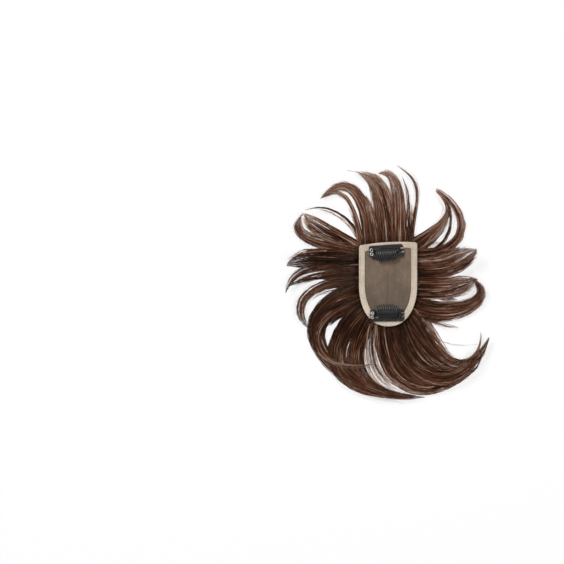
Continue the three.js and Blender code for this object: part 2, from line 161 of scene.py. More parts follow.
@dataclass
class Skin:
    """A surface in the making, in millimetres about the base's centre.

    Attributes:
        points: Places of the points.
        quads: Faces with four corners.
        triangles: Faces with three corners.
        uv: Map places of the corners, quads first.
        values: Numbers that the finish reads, one for each point.
    """

    points: np.ndarray
    quads: np.ndarray
    triangles: np.ndarray
    uv: np.ndarray | None = None
    values: dict[str, np.ndarray] = field(default_factory=dict)

    @staticmethod
    def joined(skins: list[Skin]) -> Skin:
        """Several surfaces as one, with their points numbered on.

        Args:
            skins: Surfaces that hold the same kinds of values.

        Returns:
            One surface with all their faces.
        """
        starts = np.cumsum([0] + [len(skin.points) for skin in skins[:-1]])
        quads = [skin.quads + start for skin, start in zip(skins, starts)]
        triangles = [skin.triangles + start for skin, start in zip(skins, starts)]
        uv = None
        if all(skin.uv is not None for skin in skins):
            cuts = [4 * len(skin.quads) for skin in skins]
            uv = [skin.uv[:cut] for skin, cut in zip(skins, cuts)]
            uv += [skin.uv[cut:] for skin, cut in zip(skins, cuts)]
            uv = np.concatenate(uv)
        values = {key: np.concatenate([skin.values[key] for skin in skins]) for key in skins[0].values}
        points = np.concatenate([skin.points for skin in skins])
        return Skin(points, np.concatenate(quads), np.concatenate(triangles), uv, values)

    def piece(self, name: str, centre: np.ndarray, finish: bpy.types.Material) -> bpy.types.Object:
        """The surface as a smooth mesh object, in metres in the shared frame.

        Args:
            name: Name of the object.
            centre: The base's centre in the shared frame, in metres.
            finish: Material of the whole surface.

        Returns:
            The object, at the origin with its place in its mesh.
        """
        mesh = bpy.data.meshes.new(name)
        mesh.vertices.add(len(self.points))
        mesh.vertices.foreach_set("co", (self.points * MM + centre).astype(np.float32).ravel())
        corners = np.concatenate([self.quads.ravel(), self.triangles.ravel()]).astype(np.int32)
        sizes = np.concatenate([np.full(len(self.quads), 4), np.full(len(self.triangles), 3)])
        starts = np.concatenate([[0], np.cumsum(sizes)[:-1]]).astype(np.int32)
        mesh.loops.add(len(corners))
        mesh.loops.foreach_set("vertex_index", corners)
        mesh.polygons.add(len(sizes))
        mesh.polygons.foreach_set("loop_start", starts)
        mesh.polygons.foreach_set("use_smooth", np.ones(len(sizes), dtype=bool))
        mesh.update(calc_edges=True)
        if self.uv is not None:
            layer = mesh.uv_layers.new(name="UVMap")
            layer.uv.foreach_set("vector", self.uv.astype(np.float32).ravel())
        for key, numbers in self.values.items():
            kept = mesh.attributes.new(key, "FLOAT", "POINT")
            kept.data.foreach_set("value", numbers.astype(np.float32).ravel())
        mesh.validate()
        mesh.materials.append(finish)
        return linked(name, mesh)


def tubes(
    paths: np.ndarray, wide: np.ndarray, high: np.ndarray, sides: int, turn: np.ndarray | float = 0.0
) -> Skin:
    """Closed tubes along paths, an oval of points round each station and a point at each end.

    A ring's point is station + wide·cos(angle)·side + high·sin(angle)·up, where side is level and square to the
    path, and up is square to both.

    Args:
        paths: Stations of each tube, as tubes × stations × 3.
        wide: Half width at each station.
        high: Half height at each station.
        sides: Points round a ring.
        turn: Angle of each tube's first point.

    Returns:
        The tubes, with the share along each tube as their first map coordinate.
    """
    count, stations = paths.shape[:2]
    along = np.gradient(paths, axis=1)
    along /= np.linalg.norm(along, axis=2, keepdims=True) + 1e-9
    side = np.cross(np.array([0.0, 0.0, 1.0]), along)
    side /= np.linalg.norm(side, axis=2, keepdims=True) + 1e-9
    up = np.cross(along, side)
    angle = np.arange(sides) / sides * 2 * np.pi + np.broadcast_to(turn, count)[:, None]
    cosine = np.cos(angle)[:, None, :, None]
    sine = np.sin(angle)[:, None, :, None]
    rings = paths[:, :, None] + wide[..., None, None] * cosine * side[:, :, None]
    rings = rings + high[..., None, None] * sine * up[:, :, None]
    size = stations * sides + 2
    points = np.concatenate([rings.reshape(count, -1, 3), paths[:, :1], paths[:, -1:]], 1)
    starts = np.arange(count)[:, None, None] * size
    ring_quads = grid_quads(stations, sides)
    fans = end_fans(stations, sides)
    quads = ring_quads[None] + starts
    triangles = fans[None] + starts
    u = np.minimum(np.arange(size) // sides, stations - 1) / (stations - 1)
    u[-2] = 0
    column = np.tile(np.arange(sides), stations - 1)
    ring_v = np.stack([column, column + 1, column + 1, column], -1) / sides
    fan_v = np.tile((np.arange(sides)[:, None] + [0.3, 0.7, 0.5]) / sides, (2, 1))
    band = np.arange(count)[:, None, None]
    ring_uv = np.stack(np.broadcast_arrays(u[ring_quads][None], (band + ring_v[None]) / count), -1)
    fan_uv = np.stack(np.broadcast_arrays(u[fans][None], (band + fan_v[None]) / count), -1)
    uv = np.concatenate([ring_uv.reshape(-1, 2), fan_uv.reshape(-1, 2)])
    return Skin(points.reshape(-1, 3), quads.reshape(-1, 4), triangles.reshape(-1, 3), uv)


def per_point(values: np.ndarray, sides: int) -> np.ndarray:
    """Numbers given for each station of each tube, as numbers for each point that tubes makes.

    Args:
        values: Numbers as tubes × stations.
        sides: Points round a ring.

    Returns:
        One number for each point.
    """
    rings = np.repeat(values, sides, axis=1)
    return np.concatenate([rings, values[:, :1], values[:, -1:]], 1).ravel()


# Finishes


class NodeSheet:
    """A node tree with short ways to add nodes and to link them."""

    def __init__(self, tree: bpy.types.NodeTree) -> None:
        """Takes an empty tree.

        Args:
            tree: Node tree of a material or of a group.
        """
        self.tree = tree

    def add(self, kind: str, inputs: dict | None = None, **settings) -> bpy.types.Node:
        """A new node. An input that is given a socket is linked to it, and any other is set to the value.

        Args:
            kind: Blender's name of the node, without its ShaderNode prefix.
            inputs: Values or sockets for the node's inputs, by name or number.
            settings: Properties of the node.

        Returns:
            The node.
        """
        node = self.tree.nodes.new("ShaderNode" + kind)
        for key, value in settings.items():
            setattr(node, key, value)
        self.fill(node, inputs or {})
        return node

    def fill(self, node: bpy.types.Node, inputs: dict) -> None:
        """Links each input that is given a socket, and sets any other to its value.

        Args:
            node: Node of this tree.
            inputs: Values or sockets for its inputs, by name or number.
        """
        for key, value in inputs.items():
            if isinstance(value, bpy.types.NodeSocket):
                self.tree.links.new(value, node.inputs[key])
            else:
                node.inputs[key].default_value = value

    def maths(self, operation: str, *values) -> bpy.types.NodeSocket:
        """The result of a Math node on numbers or sockets.

        Args:
            operation: Blender's name of the operation.
            values: Its operands.

        Returns:
            The output socket.
        """
        return self.add("Math", dict(enumerate(values)), operation=operation).outputs[0]

    def ranged(self, value, low: float, high: float, to_low: float = 0.0, to_high: float = 1.0):
        """A value carried smoothly from one range to another and held at its ends.

        Args:
            value: Socket to read.
            low: Start of the range read.
            high: End of the range read.
            to_low: Result at the start.
            to_high: Result at the end.

        Returns:
            The output socket.
        """
        inputs = {0: value, 1: low, 2: high, 3: to_low, 4: to_high}
        return self.add("MapRange", inputs, interpolation_type="SMOOTHSTEP").outputs[0]

    def blend(self, share, first, second, mode: str = "MIX") -> bpy.types.NodeSocket:
        """A mix of two colours.

        Args:
            share: How much of the second colour, as a number or a socket.
            first: Colour or socket.
            second: Colour or socket.
            mode: Blender's name of the blend.

        Returns:
            The colour socket.
        """
        inputs = {0: share, 6: first, 7: second}
        return self.add("Mix", inputs, data_type="RGBA", blend_type=mode).outputs[2]

    def noise(self, vector, scale: float, detail: float = 3.0, roughness: float = 0.5) -> bpy.types.NodeSocket:
        """Fractal noise read at a vector.

        Args:
            vector: Socket with the place.
            scale: How many waves fit in a unit.
            detail: How many finer layers are added.
            roughness: How strong each finer layer is.

        Returns:
            The noise's value socket.
        """
        inputs = {"Vector": vector, "Scale": scale, "Detail": detail, "Roughness": roughness}
        return self.add("TexNoise", inputs).outputs[0]

    def stretched(self, vector, scale: tuple[float, float, float]) -> bpy.types.NodeSocket:
        """A vector with each part multiplied by its own factor.

        Args:
            vector: Socket to read.
            scale: The three factors.

        Returns:
            The output socket.
        """
        return self.add("VectorMath", {0: vector, 1: scale}, operation="MULTIPLY").outputs[0]


def blank_material(name: str) -> tuple[bpy.types.Material, NodeSheet]:
    """A material with an empty node tree.

    Args:
        name: Name of the material.

    Returns:
        The material and its node tree's sheet.
    """
    material = bpy.data.materials.new(name)
    material.use_nodes = True
    material.node_tree.nodes.clear()
    return material, NodeSheet(material.node_tree)


class EffectGroup:
    """A shader node group with named sockets, built once and placed in each material that needs it."""

    def __init__(self, name: str, inputs: dict[str, tuple[str, float]], outputs: dict[str, str]) -> None:
        """Makes the empty group with its sockets.

        Args:
            name: Name of the group.
            inputs: Kind and usual value of each input, by name.
            outputs: Kind of each output, by name.
        """
        self.tree = bpy.data.node_groups.new(name, "ShaderNodeTree")
        for key, (kind, usual) in inputs.items():
            socket = self.tree.interface.new_socket(key, in_out="INPUT", socket_type="NodeSocket" + kind)
            if kind == "Float":
                socket.default_value = usual
        for key, kind in outputs.items():
            self.tree.interface.new_socket(key, in_out="OUTPUT", socket_type="NodeSocket" + kind)
        self.sheet = NodeSheet(self.tree)
        self.given = self.tree.nodes.new("NodeGroupInput").outputs
        self.results = self.tree.nodes.new("NodeGroupOutput").inputs

    def give(self, **results) -> None:
        """Links sockets to the group's outputs.

        Args:
            results: Socket for each output, by name.
        """
        for key, socket in results.items():
            self.tree.links.new(socket, self.results[key])

    def place(self, sheet: NodeSheet, **values) -> bpy.types.bpy_prop_collection:
        """Puts the group into a node tree.

        Args:
            sheet: Node tree that takes it.
            values: Values or sockets for its inputs, by name.

        Returns:
            The outputs of the placed group.
        """
        node = sheet.add("Group", None, node_tree=self.tree)
        sheet.fill(node, values)
        return node.outputs


def weave_effect() -> EffectGroup:
    """Crossed threads: height = max(|sin πu|, |sin πv|) in two directions, where u and v count threads.

    Returns:
        The group, which takes a place and the two pitches and gives a thread's height and a mask of the holes.
    """
    inputs = {"Vector": ("Vector", 0.0), "Across": ("Float", 1.0), "Along": ("Float", 1.0)}
    group = EffectGroup("crossed_threads", inputs, {"Height": "Float", "Holes": "Float"})
    sheet = group.sheet
    parts = sheet.add("SeparateXYZ", {0: group.given["Vector"]}).outputs
    waves = []
    for part, pitch in ((parts[0], "Across"), (parts[1], "Along")):
        turns = sheet.maths("DIVIDE", part, group.given[pitch])
        wave = sheet.maths("SINE", sheet.maths("MULTIPLY", turns, math.pi))
        waves.append(sheet.maths("ABSOLUTE", wave))
    height = sheet.maths("MAXIMUM", *waves)
    holes = sheet.ranged(height, 0.45, 0.8, 1.0, 0.0)
    group.give(Height=height, Holes=holes)
    return group


def blotch_effect() -> EffectGroup:
    """Soft unevenness of a finish: broad noise and fine noise added in given strengths.

    Returns:
        The group, which takes a place, two scales and two strengths and gives a value about 0.5.
    """
    inputs = {
        "Vector": ("Vector", 0.0),
        "Broad scale": ("Float", 60.0),
        "Fine scale": ("Float", 900.0),
        "Broad": ("Float", 0.6),
        "Fine": ("Float", 0.3),
    }
    group = EffectGroup("uneven_finish", inputs, {"Value": "Float"})
    sheet = group.sheet
    total = 0.5
    for kind in ("Broad", "Fine"):
        place = {"Vector": group.given["Vector"], "Scale": group.given[kind + " scale"], "Detail": 4.0}
        noise = sheet.add("TexNoise", place).outputs[0]
        swing = sheet.maths("MULTIPLY", sheet.maths("SUBTRACT", noise, 0.5), group.given[kind])
        total = sheet.maths("ADD", swing, total)
    group.give(Value=total)
    return group


def streak_effect() -> EffectGroup:
    """Light and dark along hair: noise that is long along a strand and quick across it, added to its tint, with
    painted shade that darkens the roots by the base and paler ends towards the tips.

    Returns:
        The group, which takes the map place, tint and reach and gives a tone from 0, dark, to 1, light.
    """
    inputs = {
        "Vector": ("Vector", 0.0),
        "Tint": ("Float", 0.5),
        "Reach": ("Float", 0.5),
        "Strength": ("Float", 0.4),
    }
    group = EffectGroup("hair_streaks", inputs, {"Tone": "Float", "Fine": "Float"})
    sheet = group.sheet
    place = sheet.stretched(group.given["Vector"], (5.0, 900.0, 1.0))
    noise = sheet.noise(place, 1.0, 2.0)
    fine = sheet.noise(sheet.stretched(group.given["Vector"], (40.0, 2600.0, 1.0)), 1.0, 2.0)
    swing = sheet.maths("MULTIPLY", sheet.maths("SUBTRACT", noise, 0.5), group.given["Strength"])
    # Painted shade at the roots: the tone is 0.16 lower at the root, where the base shades the hair, and 0.10
    # higher from three quarters of the length on.
    root_shade_and_pale_tips = sheet.ranged(group.given["Reach"], 0.0, 0.75, -0.16, 0.10)
    tone = sheet.maths("ADD", sheet.maths("ADD", swing, group.given["Tint"]), root_shade_and_pale_tips)
    tone = sheet.maths("MINIMUM", sheet.maths("MAXIMUM", tone, 0.0), 1.0)
    group.give(Tone=tone, Fine=fine)
    return group


@dataclass(frozen=True)
class Colour:
    """A colour as red, green and blue shares of light."""

    red: float
    green: float
    blue: float

    @property
    def rgba(self) -> tuple[float, float, float, float]:
        """The colour with full cover."""
        return (self.red, self.green, self.blue, 1.0)


@dataclass(frozen=True)
class HairFinish:
    """Brown human hair: a range of browns from root to tip, darker at the roots as painted shade by the base,
    with a soft gloss that runs along the strands.
    """

    name: str
    deep: Colour = Colour(0.010, 0.0034, 0.0014)
    dark: Colour = Colour(0.048, 0.0155, 0.0068)
    brown: Colour = Colour(0.205, 0.070, 0.034)
    copper: Colour = Colour(0.49, 0.225, 0.135)
    light: Colour = Colour(0.84, 0.68, 0.56)
    gleam: Colour = Colour(1.0, 0.66, 0.48)
    roughness: float = 0.32
    shine: float = 0.5
    streak: float = 0.45
    bump: float = 0.0

    def material(self, streaks: EffectGroup) -> bpy.types.Material:
        """Builds the material.

        Args:
            streaks: The shared streak effect.

        Returns:
            A material that reads the tint and reach of each point.
        """
        material, sheet = blank_material(self.name)
        tint = sheet.add("Attribute", attribute_name="tint").outputs["Fac"]
        reach = sheet.add("Attribute", attribute_name="reach").outputs["Fac"]
        place = sheet.add("TexCoord").outputs["UV"]
        found = streaks.place(sheet, Vector=place, Tint=tint, Reach=reach, Strength=self.streak)
        ramp = sheet.add("ValToRGB", {0: found["Tone"]})
        stops = [(0.0, self.deep), (0.28, self.dark), (0.55, self.brown), (0.8, self.copper), (1.0, self.light)]
        for place_on_ramp, _ in stops[1:-1]:
            ramp.color_ramp.elements.new(place_on_ramp)
        for element, (place_on_ramp, colour) in zip(ramp.color_ramp.elements, stops):
            element.position = place_on_ramp
            element.color = colour.rgba
        rough = sheet.ranged(found["Fine"], 0.3, 0.7, self.roughness - 0.08, self.roughness + 0.10)
        inputs = {"Base Color": ramp.outputs[0], "Roughness": rough, "Specular IOR Level": self.shine}
        inputs |= {"IOR": 1.55, "Specular Tint": self.gleam.rgba}
        shader = sheet.add("BsdfPrincipled", inputs)
        if self.bump:
            height = {"Height": found["Fine"], "Strength": self.bump, "Distance": 0.0004}
            sheet.tree.links.new(sheet.add("Bump", height).outputs[0], shader.inputs["Normal"])
        sheet.add("OutputMaterial", {0: shader.outputs[0]})
        return material


@dataclass(frozen=True)
class NetFinish:
    """Fine taupe net: a woven mesh with the hair's dark showing through it, a parting line and faint knots."""

    front_colour: Colour = Colour(0.300, 0.212, 0.148)
    back_colour: Colour = Colour(0.188, 0.136, 0.094)
    hole_colour: Colour = Colour(0.080, 0.056, 0.038)
    knot_colour: Colour = Colour(0.36, 0.205, 0.150)
    pitch: float = 0.62
    roughness: float = 0.78
    mottling: float = 0.42
    hole_cover: float = 0.42
    parting_x: float = -0.6
    parting_half: float = 1.3
    parting_cover: float = 0.22
    knot_place: tuple[float, float, float] = (-0.6, 17.0, 16.0)
    knot_reach: float = 6.0
    knot_cover: float = 0.55
    bump: float = 0.55

    def material(self, centre: np.ndarray, weave: EffectGroup, blotches: EffectGroup) -> bpy.types.Material:
        """Builds the material.

        Args:
            centre: The base's centre in metres.
            weave: The shared weave effect.
            blotches: The shared effect of an uneven finish.

        Returns:
            A material on the net's own coordinates.
        """
        material, sheet = blank_material("fine_taupe_net")
        local = sheet.add("TexCoord").outputs["Object"]
        centred = sheet.add("VectorMath", {0: local, 1: tuple(centre)}, operation="SUBTRACT").outputs[0]
        place = sheet.stretched(centred, (1000.0, 1000.0, 1000.0))
        slant = math.radians(45)
        turned = sheet.add("VectorRotate", {"Vector": place, "Angle": slant}, rotation_type="Z_AXIS").outputs[0]
        woven = weave.place(sheet, Vector=turned, Across=self.pitch, Along=self.pitch)
        uneven = blotches.place(sheet, Vector=local, **{"Broad scale": 55.0, "Fine scale": 420.0, "Broad": 0.9})
        parts = sheet.add("SeparateXYZ", {0: place}).outputs
        fall = sheet.ranged(parts[1], -38.0, 34.0)
        colour = sheet.blend(fall, self.back_colour.rgba, self.front_colour.rgba)
        drawn = sheet.noise(sheet.stretched(place, (0.20, 0.09, 0.1)), 1.0, 5.0, 0.62)
        shade = sheet.ranged(drawn, 0.32, 0.70, 0.82, 1.12)
        shades = sheet.add("CombineXYZ", {0: shade, 1: shade, 2: shade}).outputs[0]
        colour = sheet.blend(1.0, colour, shades, "MULTIPLY")
        mottle = sheet.ranged(uneven["Value"], 0.2, 0.8, 0.0, self.mottling)
        colour = sheet.blend(mottle, colour, self.hole_colour.rgba)
        holes = sheet.maths("MULTIPLY", woven["Holes"], self.hole_cover)
        colour = sheet.blend(holes, colour, self.hole_colour.rgba)
        waver = sheet.maths("MULTIPLY", sheet.maths("SUBTRACT", sheet.noise(place, 0.06, 2.0), 0.5), 3.0)
        aside = sheet.maths("ADD", parts[0], -self.parting_x)
        off = sheet.maths("ABSOLUTE", sheet.maths("ADD", aside, waver))
        line = sheet.ranged(off, 0.1, self.parting_half, self.parting_cover, 0.0)
        begun = sheet.ranged(parts[1], -33.0, -20.0)
        span = sheet.maths("MULTIPLY", begun, sheet.ranged(parts[1], 6.0, 24.0, 1.0, 0.0))
        colour = sheet.blend(sheet.maths("MULTIPLY", line, span), colour, self.hole_colour.rgba)
        far = sheet.add("VectorMath", {0: place, 1: self.knot_place}, operation="DISTANCE").outputs["Value"]
        rows = sheet.maths("ABSOLUTE", sheet.maths("SINE", sheet.maths("MULTIPLY", parts[0], math.pi / 1.5)))
        patch = sheet.ranged(far, 1.5, self.knot_reach, 1.0, 0.0)
        knots = sheet.maths("MULTIPLY", patch, sheet.ranged(rows, 0.4, 0.9, 0.2, 1.0))
        colour = sheet.blend(sheet.maths("MULTIPLY", knots, self.knot_cover), colour, self.knot_colour.rgba)
        height = sheet.maths("ADD", woven["Height"], sheet.maths("MULTIPLY", uneven["Value"], 0.8))
        normal = sheet.add("Bump", {"Height": height, "Strength": self.bump, "Distance": 0.00018}).outputs[0]
        inputs = {"Base Color": colour, "Roughness": self.roughness, "Normal": normal, "Sheen Weight": 0.25}
        shader = sheet.add("BsdfPrincipled", inputs)
        sheet.add("OutputMaterial", {0: shader.outputs[0]})
        return material


@dataclass(frozen=True)
class TapeFinish:
    """Cream tape and thread: a close weave with lines along the tape, a little greyer where it is handled."""

    name: str
    pale: Colour = Colour(0.90, 0.77, 0.62)
    deep: Colour = Colour(0.58, 0.48, 0.35)
    along: float = 0.55
    across: float = 0.30
    size: tuple[float, float] = (260.0, 6.2)
    roughness: float = 0.72

    def material(self, weave: EffectGroup, blotches: EffectGroup) -> bpy.types.Material:
        """Builds the material.

        Args:
            weave: The shared weave effect.
            blotches: The shared effect of an uneven finish.

        Returns:
            A material on the tape's own map, whose sides are given in millimetres by size.
        """
        material, sheet = blank_material(self.name)
        coordinates = sheet.add("TexCoord").outputs
        place = sheet.stretched(coordinates["UV"], (self.size[0], self.size[1], 1.0))
        woven = weave.place(sheet, Vector=place, Across=self.across, Along=self.along)
        uneven = blotches.place(sheet, Vector=coordinates["Object"], Fine=0.5, **{"Fine scale": 700.0})
        lines = sheet.noise(sheet.stretched(place, (0.02, 2.2, 1.0)), 1.0, 3.0, 0.6)
        drawn = sheet.maths("MULTIPLY", lines, 0.8)
        tone = sheet.maths("ADD", drawn, sheet.maths("MULTIPLY", woven["Height"], 0.2))
        tone = sheet.maths("ADD", tone, sheet.maths("SUBTRACT", uneven["Value"], 0.62))
        colour = sheet.blend(sheet.ranged(tone, 0.18, 0.64), self.deep.rgba, self.pale.rgba)
        height = sheet.maths("ADD", woven["Height"], lines)
        normal = sheet.add("Bump", {"Height": height, "Strength": 0.5, "Distance": 0.00016}).outputs[0]
        inputs = {"Base Color": colour, "Roughness": self.roughness, "Normal": normal, "Sheen Weight": 0.3}
        shader = sheet.add("BsdfPrincipled", inputs)
        sheet.add("OutputMaterial", {0: shader.outputs[0]})
        return material


@dataclass(frozen=True)
class HardFinish:
    """Painted steel or rubber of the clips with handling marks in its gloss, and pale silver whose colour is
    painted glare.
    """

    name: str
    body: Colour
    wear_and_glare: Colour
    metallic: float
    roughness: float
    coat: float
    marks: float = 0.10

    def material(self, blotches: EffectGroup) -> bpy.types.Material:
        """Builds the material.

        Args:
            blotches: The shared effect of an uneven finish.

        Returns:
            A material on object coordinates.
        """
        material, sheet = blank_material(self.name)
        place = sheet.add("TexCoord").outputs["Object"]
        values = {"Broad scale": 240.0, "Fine scale": 2600.0, "Broad": 0.9, "Fine": 0.8}
        uneven = blotches.place(sheet, Vector=place, **values)["Value"]
        colour = sheet.blend(sheet.ranged(uneven, 0.62, 0.95), self.body.rgba, self.wear_and_glare.rgba)
        rough = sheet.ranged(uneven, 0.2, 0.8, self.roughness - self.marks / 2, self.roughness + self.marks)
        normal = sheet.add("Bump", {"Height": uneven, "Strength": 0.12, "Distance": 0.0001}).outputs[0]
        inputs = {
            "Base Color": colour,
            "Roughness": rough,
            "Metallic": self.metallic,
            "Normal": normal,
            "Coat Weight": self.coat,
            "Coat Roughness": 0.2,
        }
        shader = sheet.add("BsdfPrincipled", inputs)
        sheet.add("OutputMaterial", {0: shader.outputs[0]})
        return material


# Base


@dataclass(frozen=True)
class BasePlan:
    """The base's plan and dish, in millimetres about its own centre, straight in front and round behind."""

    width: float = 60.0
    front: float = 43.5
    back: float = 43.4
    front_bow: float = 1.6
    front_tilt: float = 1.6
    corner_radius: float = 3.0
    inner_corner_radius: float = 1.6
    round_power: float = 2.2
    level: float = 12.0
    side_lift: float = 2.0
    end_lift: float = 2.6
    net_thickness: float = 1.0
    gap: float = 0.3

    def outline(self, inset: float) -> np.ndarray:
        """The base's edge moved in by inset, anticlockwise from the right-hand side.

        The sides are straight, the front corners are arcs, the front edge is a shallow parabola, and the round
        end is |x/half|^p + |y/back|^p = 1 with p the round power. Then y grows by tilt·x/half·smoothstep(y) in
        front, so the front edge rises to the right.

        Args:
            inset: How far the edge is moved in, or out where it is negative.

        Returns:
            Points as x and y, as many for every inset.
        """
        side_steps, corner_steps, front_steps, round_steps = 22, 10, 56, 116
        half = self.width / 2 - inset
        front = self.front - inset
        radius = max(self.corner_radius - inset, self.inner_corner_radius)
        shoulder = front - self.front_bow - radius
        rise = np.arange(side_steps) / side_steps
        right = np.stack([np.full(side_steps, half), shoulder * rise], -1)
        angle = np.arange(corner_steps) / corner_steps * np.pi / 2
        arc = np.stack([half - radius + radius * np.cos(angle), shoulder + radius * np.sin(angle)], -1)
        share = 1 - 2 * np.arange(front_steps + 1) / front_steps
        straight = half - radius
        bow = self.front_bow * (share * straight / half) ** 2
        drop = self.front_bow * (1 - (straight / half) ** 2)
        edge = np.stack([straight * share, front - bow - drop * share**2], -1)
        turned = np.stack([-arc[::-1, 0], arc[::-1, 1]], -1)
        left = np.stack([np.full(side_steps - 1, -half), shoulder * (1 - rise[1:])], -1)
        angle = np.pi * (1 + np.arange(round_steps) / round_steps)
        power = 2 / self.round_power
        across = np.sign(np.cos(angle)) * np.abs(np.cos(angle)) ** power
        round_end = np.stack([half * across, -(self.back - inset) * np.abs(np.sin(angle)) ** power], -1)
        outline = np.concatenate([right, arc, edge, turned, left, round_end])
        outline[:, 1] += self.front_tilt * outline[:, 0] / half * smoothstep(outline[:, 1], 0, front)
        return outline

    def height(self, x: np.ndarray, y: np.ndarray) -> np.ndarray:
        """The upper face of the net, a dish that rises with the squares of x and y.

        Args:
            x: Places across the base.
            y: Places along the base.

        Returns:
            Heights over the surface that the hair lies on.
        """
        end = np.where(y > 0, self.front, self.back)
        return self.level + self.side_lift * (x / (self.width / 2)) ** 2 + self.end_lift * (y / end) ** 2


@dataclass
class NetBase:
    """The net of the base, the tape round it and the stitches that hold the two together."""

    plan: BasePlan
    centre: np.ndarray
    overhang: float = 0.6
    tape_width: float = 6.2
    tape_thickness: float = 1.0
    ribs: int = 5
    rib_height: float = 0.10
    ridge: float = 0.16
    pucker: float = 0.07
    wave: float = 0.10
    fold: float = 0.55
    fold_pitch: float = 1.7
    stitch_length: float = 1.5
    stitch_pitch: float = 2.7
    thread: float = 0.15

    def cut_area(self) -> float:
        """The flat area of the net in square metres, by the shoelace formula ½|Σ(x·y' - x'·y)| on its edge."""
        x, y = (self.plan.outline(self.overhang) * MM).T
        return float(abs(np.sum(x * np.roll(y, -1) - np.roll(x, -1) * y)) / 2)

    def net(self, finish: bpy.types.Material) -> bpy.types.Object:
        """The net: a thin dished sheet, with a low ridge along its parting and small puckers along its edge.

        A point of the upper face is share·outline at the dish's height, and the ridge is a bell over x times a
        smooth span over y.

        Args:
            finish: Material of the net.

        Returns:
            The net's object.
        """
        edge = self.plan.outline(self.overhang)
        shares = np.linspace(0.03, 1, 30)[:, None, None]
        place = shares * edge[None]
        x, y = place[..., 0], place[..., 1]
        span = smoothstep(y, -34, -20) * (1 - smoothstep(y, 8, 26))
        ridge = self.ridge * np.exp(-(((x + 0.5) / 0.9) ** 2)) * span
        pucker = self.pucker * np.cos(46 * np.arctan2(y, x)) * shares[..., 0] ** 10
        wave = self.wave * np.sin(x * 0.55 + 0.8) * np.sin(y * 0.37 + 0.3) * (1 - shares[..., 0] ** 6)
        top = self.plan.height(x, y) + ridge + pucker * 0.5 + wave
        under = self.plan.height(x, y) - self.plan.net_thickness + wave * 0.5
        upper = np.stack([x, y, top], -1)
        lower = np.stack([x, y, under], -1)[::-1]
        rows, columns = len(shares), len(edge)
        rings = np.concatenate([upper, lower]).reshape(-1, 3)
        middle = self.plan.height(np.zeros(1), np.zeros(1))[0]
        ends = np.array([[0, 0, middle], [0, 0, middle - self.plan.net_thickness]])
        points = np.concatenate([rings, ends])
        quads = grid_quads(2 * rows, columns)[:, ::-1]
        triangles = end_fans(2 * rows, columns)[:, [1, 0, 2]]
        flat = points[:, :2] / (2 * self.plan.front) + 0.5
        uv = np.concatenate([flat[quads].reshape(-1, 2), flat[triangles].reshape(-1, 2)])
        net = Skin(points, quads, triangles, uv).piece("base_net_sheet", self.centre, finish)
        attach(net, BODY)
        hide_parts("base_net")
        return net

    def tape(self, finish: bpy.types.Material) -> bpy.types.Object:
        """The tape: a ribbed band carried round the outline, gathered in small folds at the right front corner.

        Its top is thickness·(0.55 + 0.45·(1 - (2w - 1)^8)) + rib·cos(2π·ribs·w)·(1 - (2w - 1)^4) over the net,
        where w is the share of the width.

        Args:
            finish: Material of the tape.

        Returns:
            The tape's object.
        """
        share = np.linspace(0, 1, 31)
        crown = self.tape_thickness * (0.55 + 0.45 * (1 - (2 * share - 1) ** 8))
        crown = crown + self.rib_height * np.cos(2 * np.pi * self.ribs * share) * (1 - (2 * share - 1) ** 4)
        foot_share = np.linspace(1, 0, 6)
        insets = np.concatenate([share, foot_share]) * self.tape_width
        lifts = np.concatenate([crown, np.zeros(len(foot_share))])
        rings = np.stack([self.plan.outline(inset) for inset in insets])
        step = np.linalg.norm(np.diff(rings[0], axis=0, append=rings[0][:1]), axis=1)
        run = np.cumsum(step) - step
        corner = np.exp(-(((rings[..., 0] - 22) / 6.5) ** 2)) * smoothstep(rings[..., 1], 34, 39)
        turn = run[None] * 2 * np.pi / self.fold_pitch + rings[..., 1] * 0.8
        folds = corner * (0.5 + 0.5 * np.cos(turn)) * (lifts[:, None] > 0)
        drift = 0.05 * np.sin(run * 0.9) + 0.04 * np.sin(run * 2.3 + 1)
        height = self.plan.height(rings[..., 0], rings[..., 1]) + self.plan.gap
        height = height + lifts[:, None] * (1 + drift[None] * 0.8) + folds * self.fold
        points = np.concatenate([rings, height[..., None]], -1)
        points[..., :2] *= (1 + 0.0025 * np.sin(run * 1.7))[None, :, None]
        rows, columns = rings.shape[:2]
        quads = grid_quads(rows, columns, wrap_rows=True)[:, ::-1]
        row, column = np.meshgrid(np.arange(rows), np.arange(columns), indexing="ij")
        across = np.append(np.concatenate([share, foot_share * 0.2]), 0.0)
        length = np.append(run, run[-1] + step[-1]) / (run[-1] + step[-1])
        near = np.stack([length[column], across[row]], -1)
        far = np.stack([length[column], across[row + 1]], -1)
        near_next = np.stack([length[column + 1], across[row]], -1)
        far_next = np.stack([length[column + 1], across[row + 1]], -1)
        uv = np.stack([near, near_next, far_next, far], 2)[:, :, ::-1].reshape(-1, 2)
        tape = Skin(points.reshape(-1, 3), quads, np.zeros((0, 3), int), uv)
        tape = tape.piece("edge_tape_band", self.centre, finish)
        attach(tape, BODY)
        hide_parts("edge_tape")
        return tape

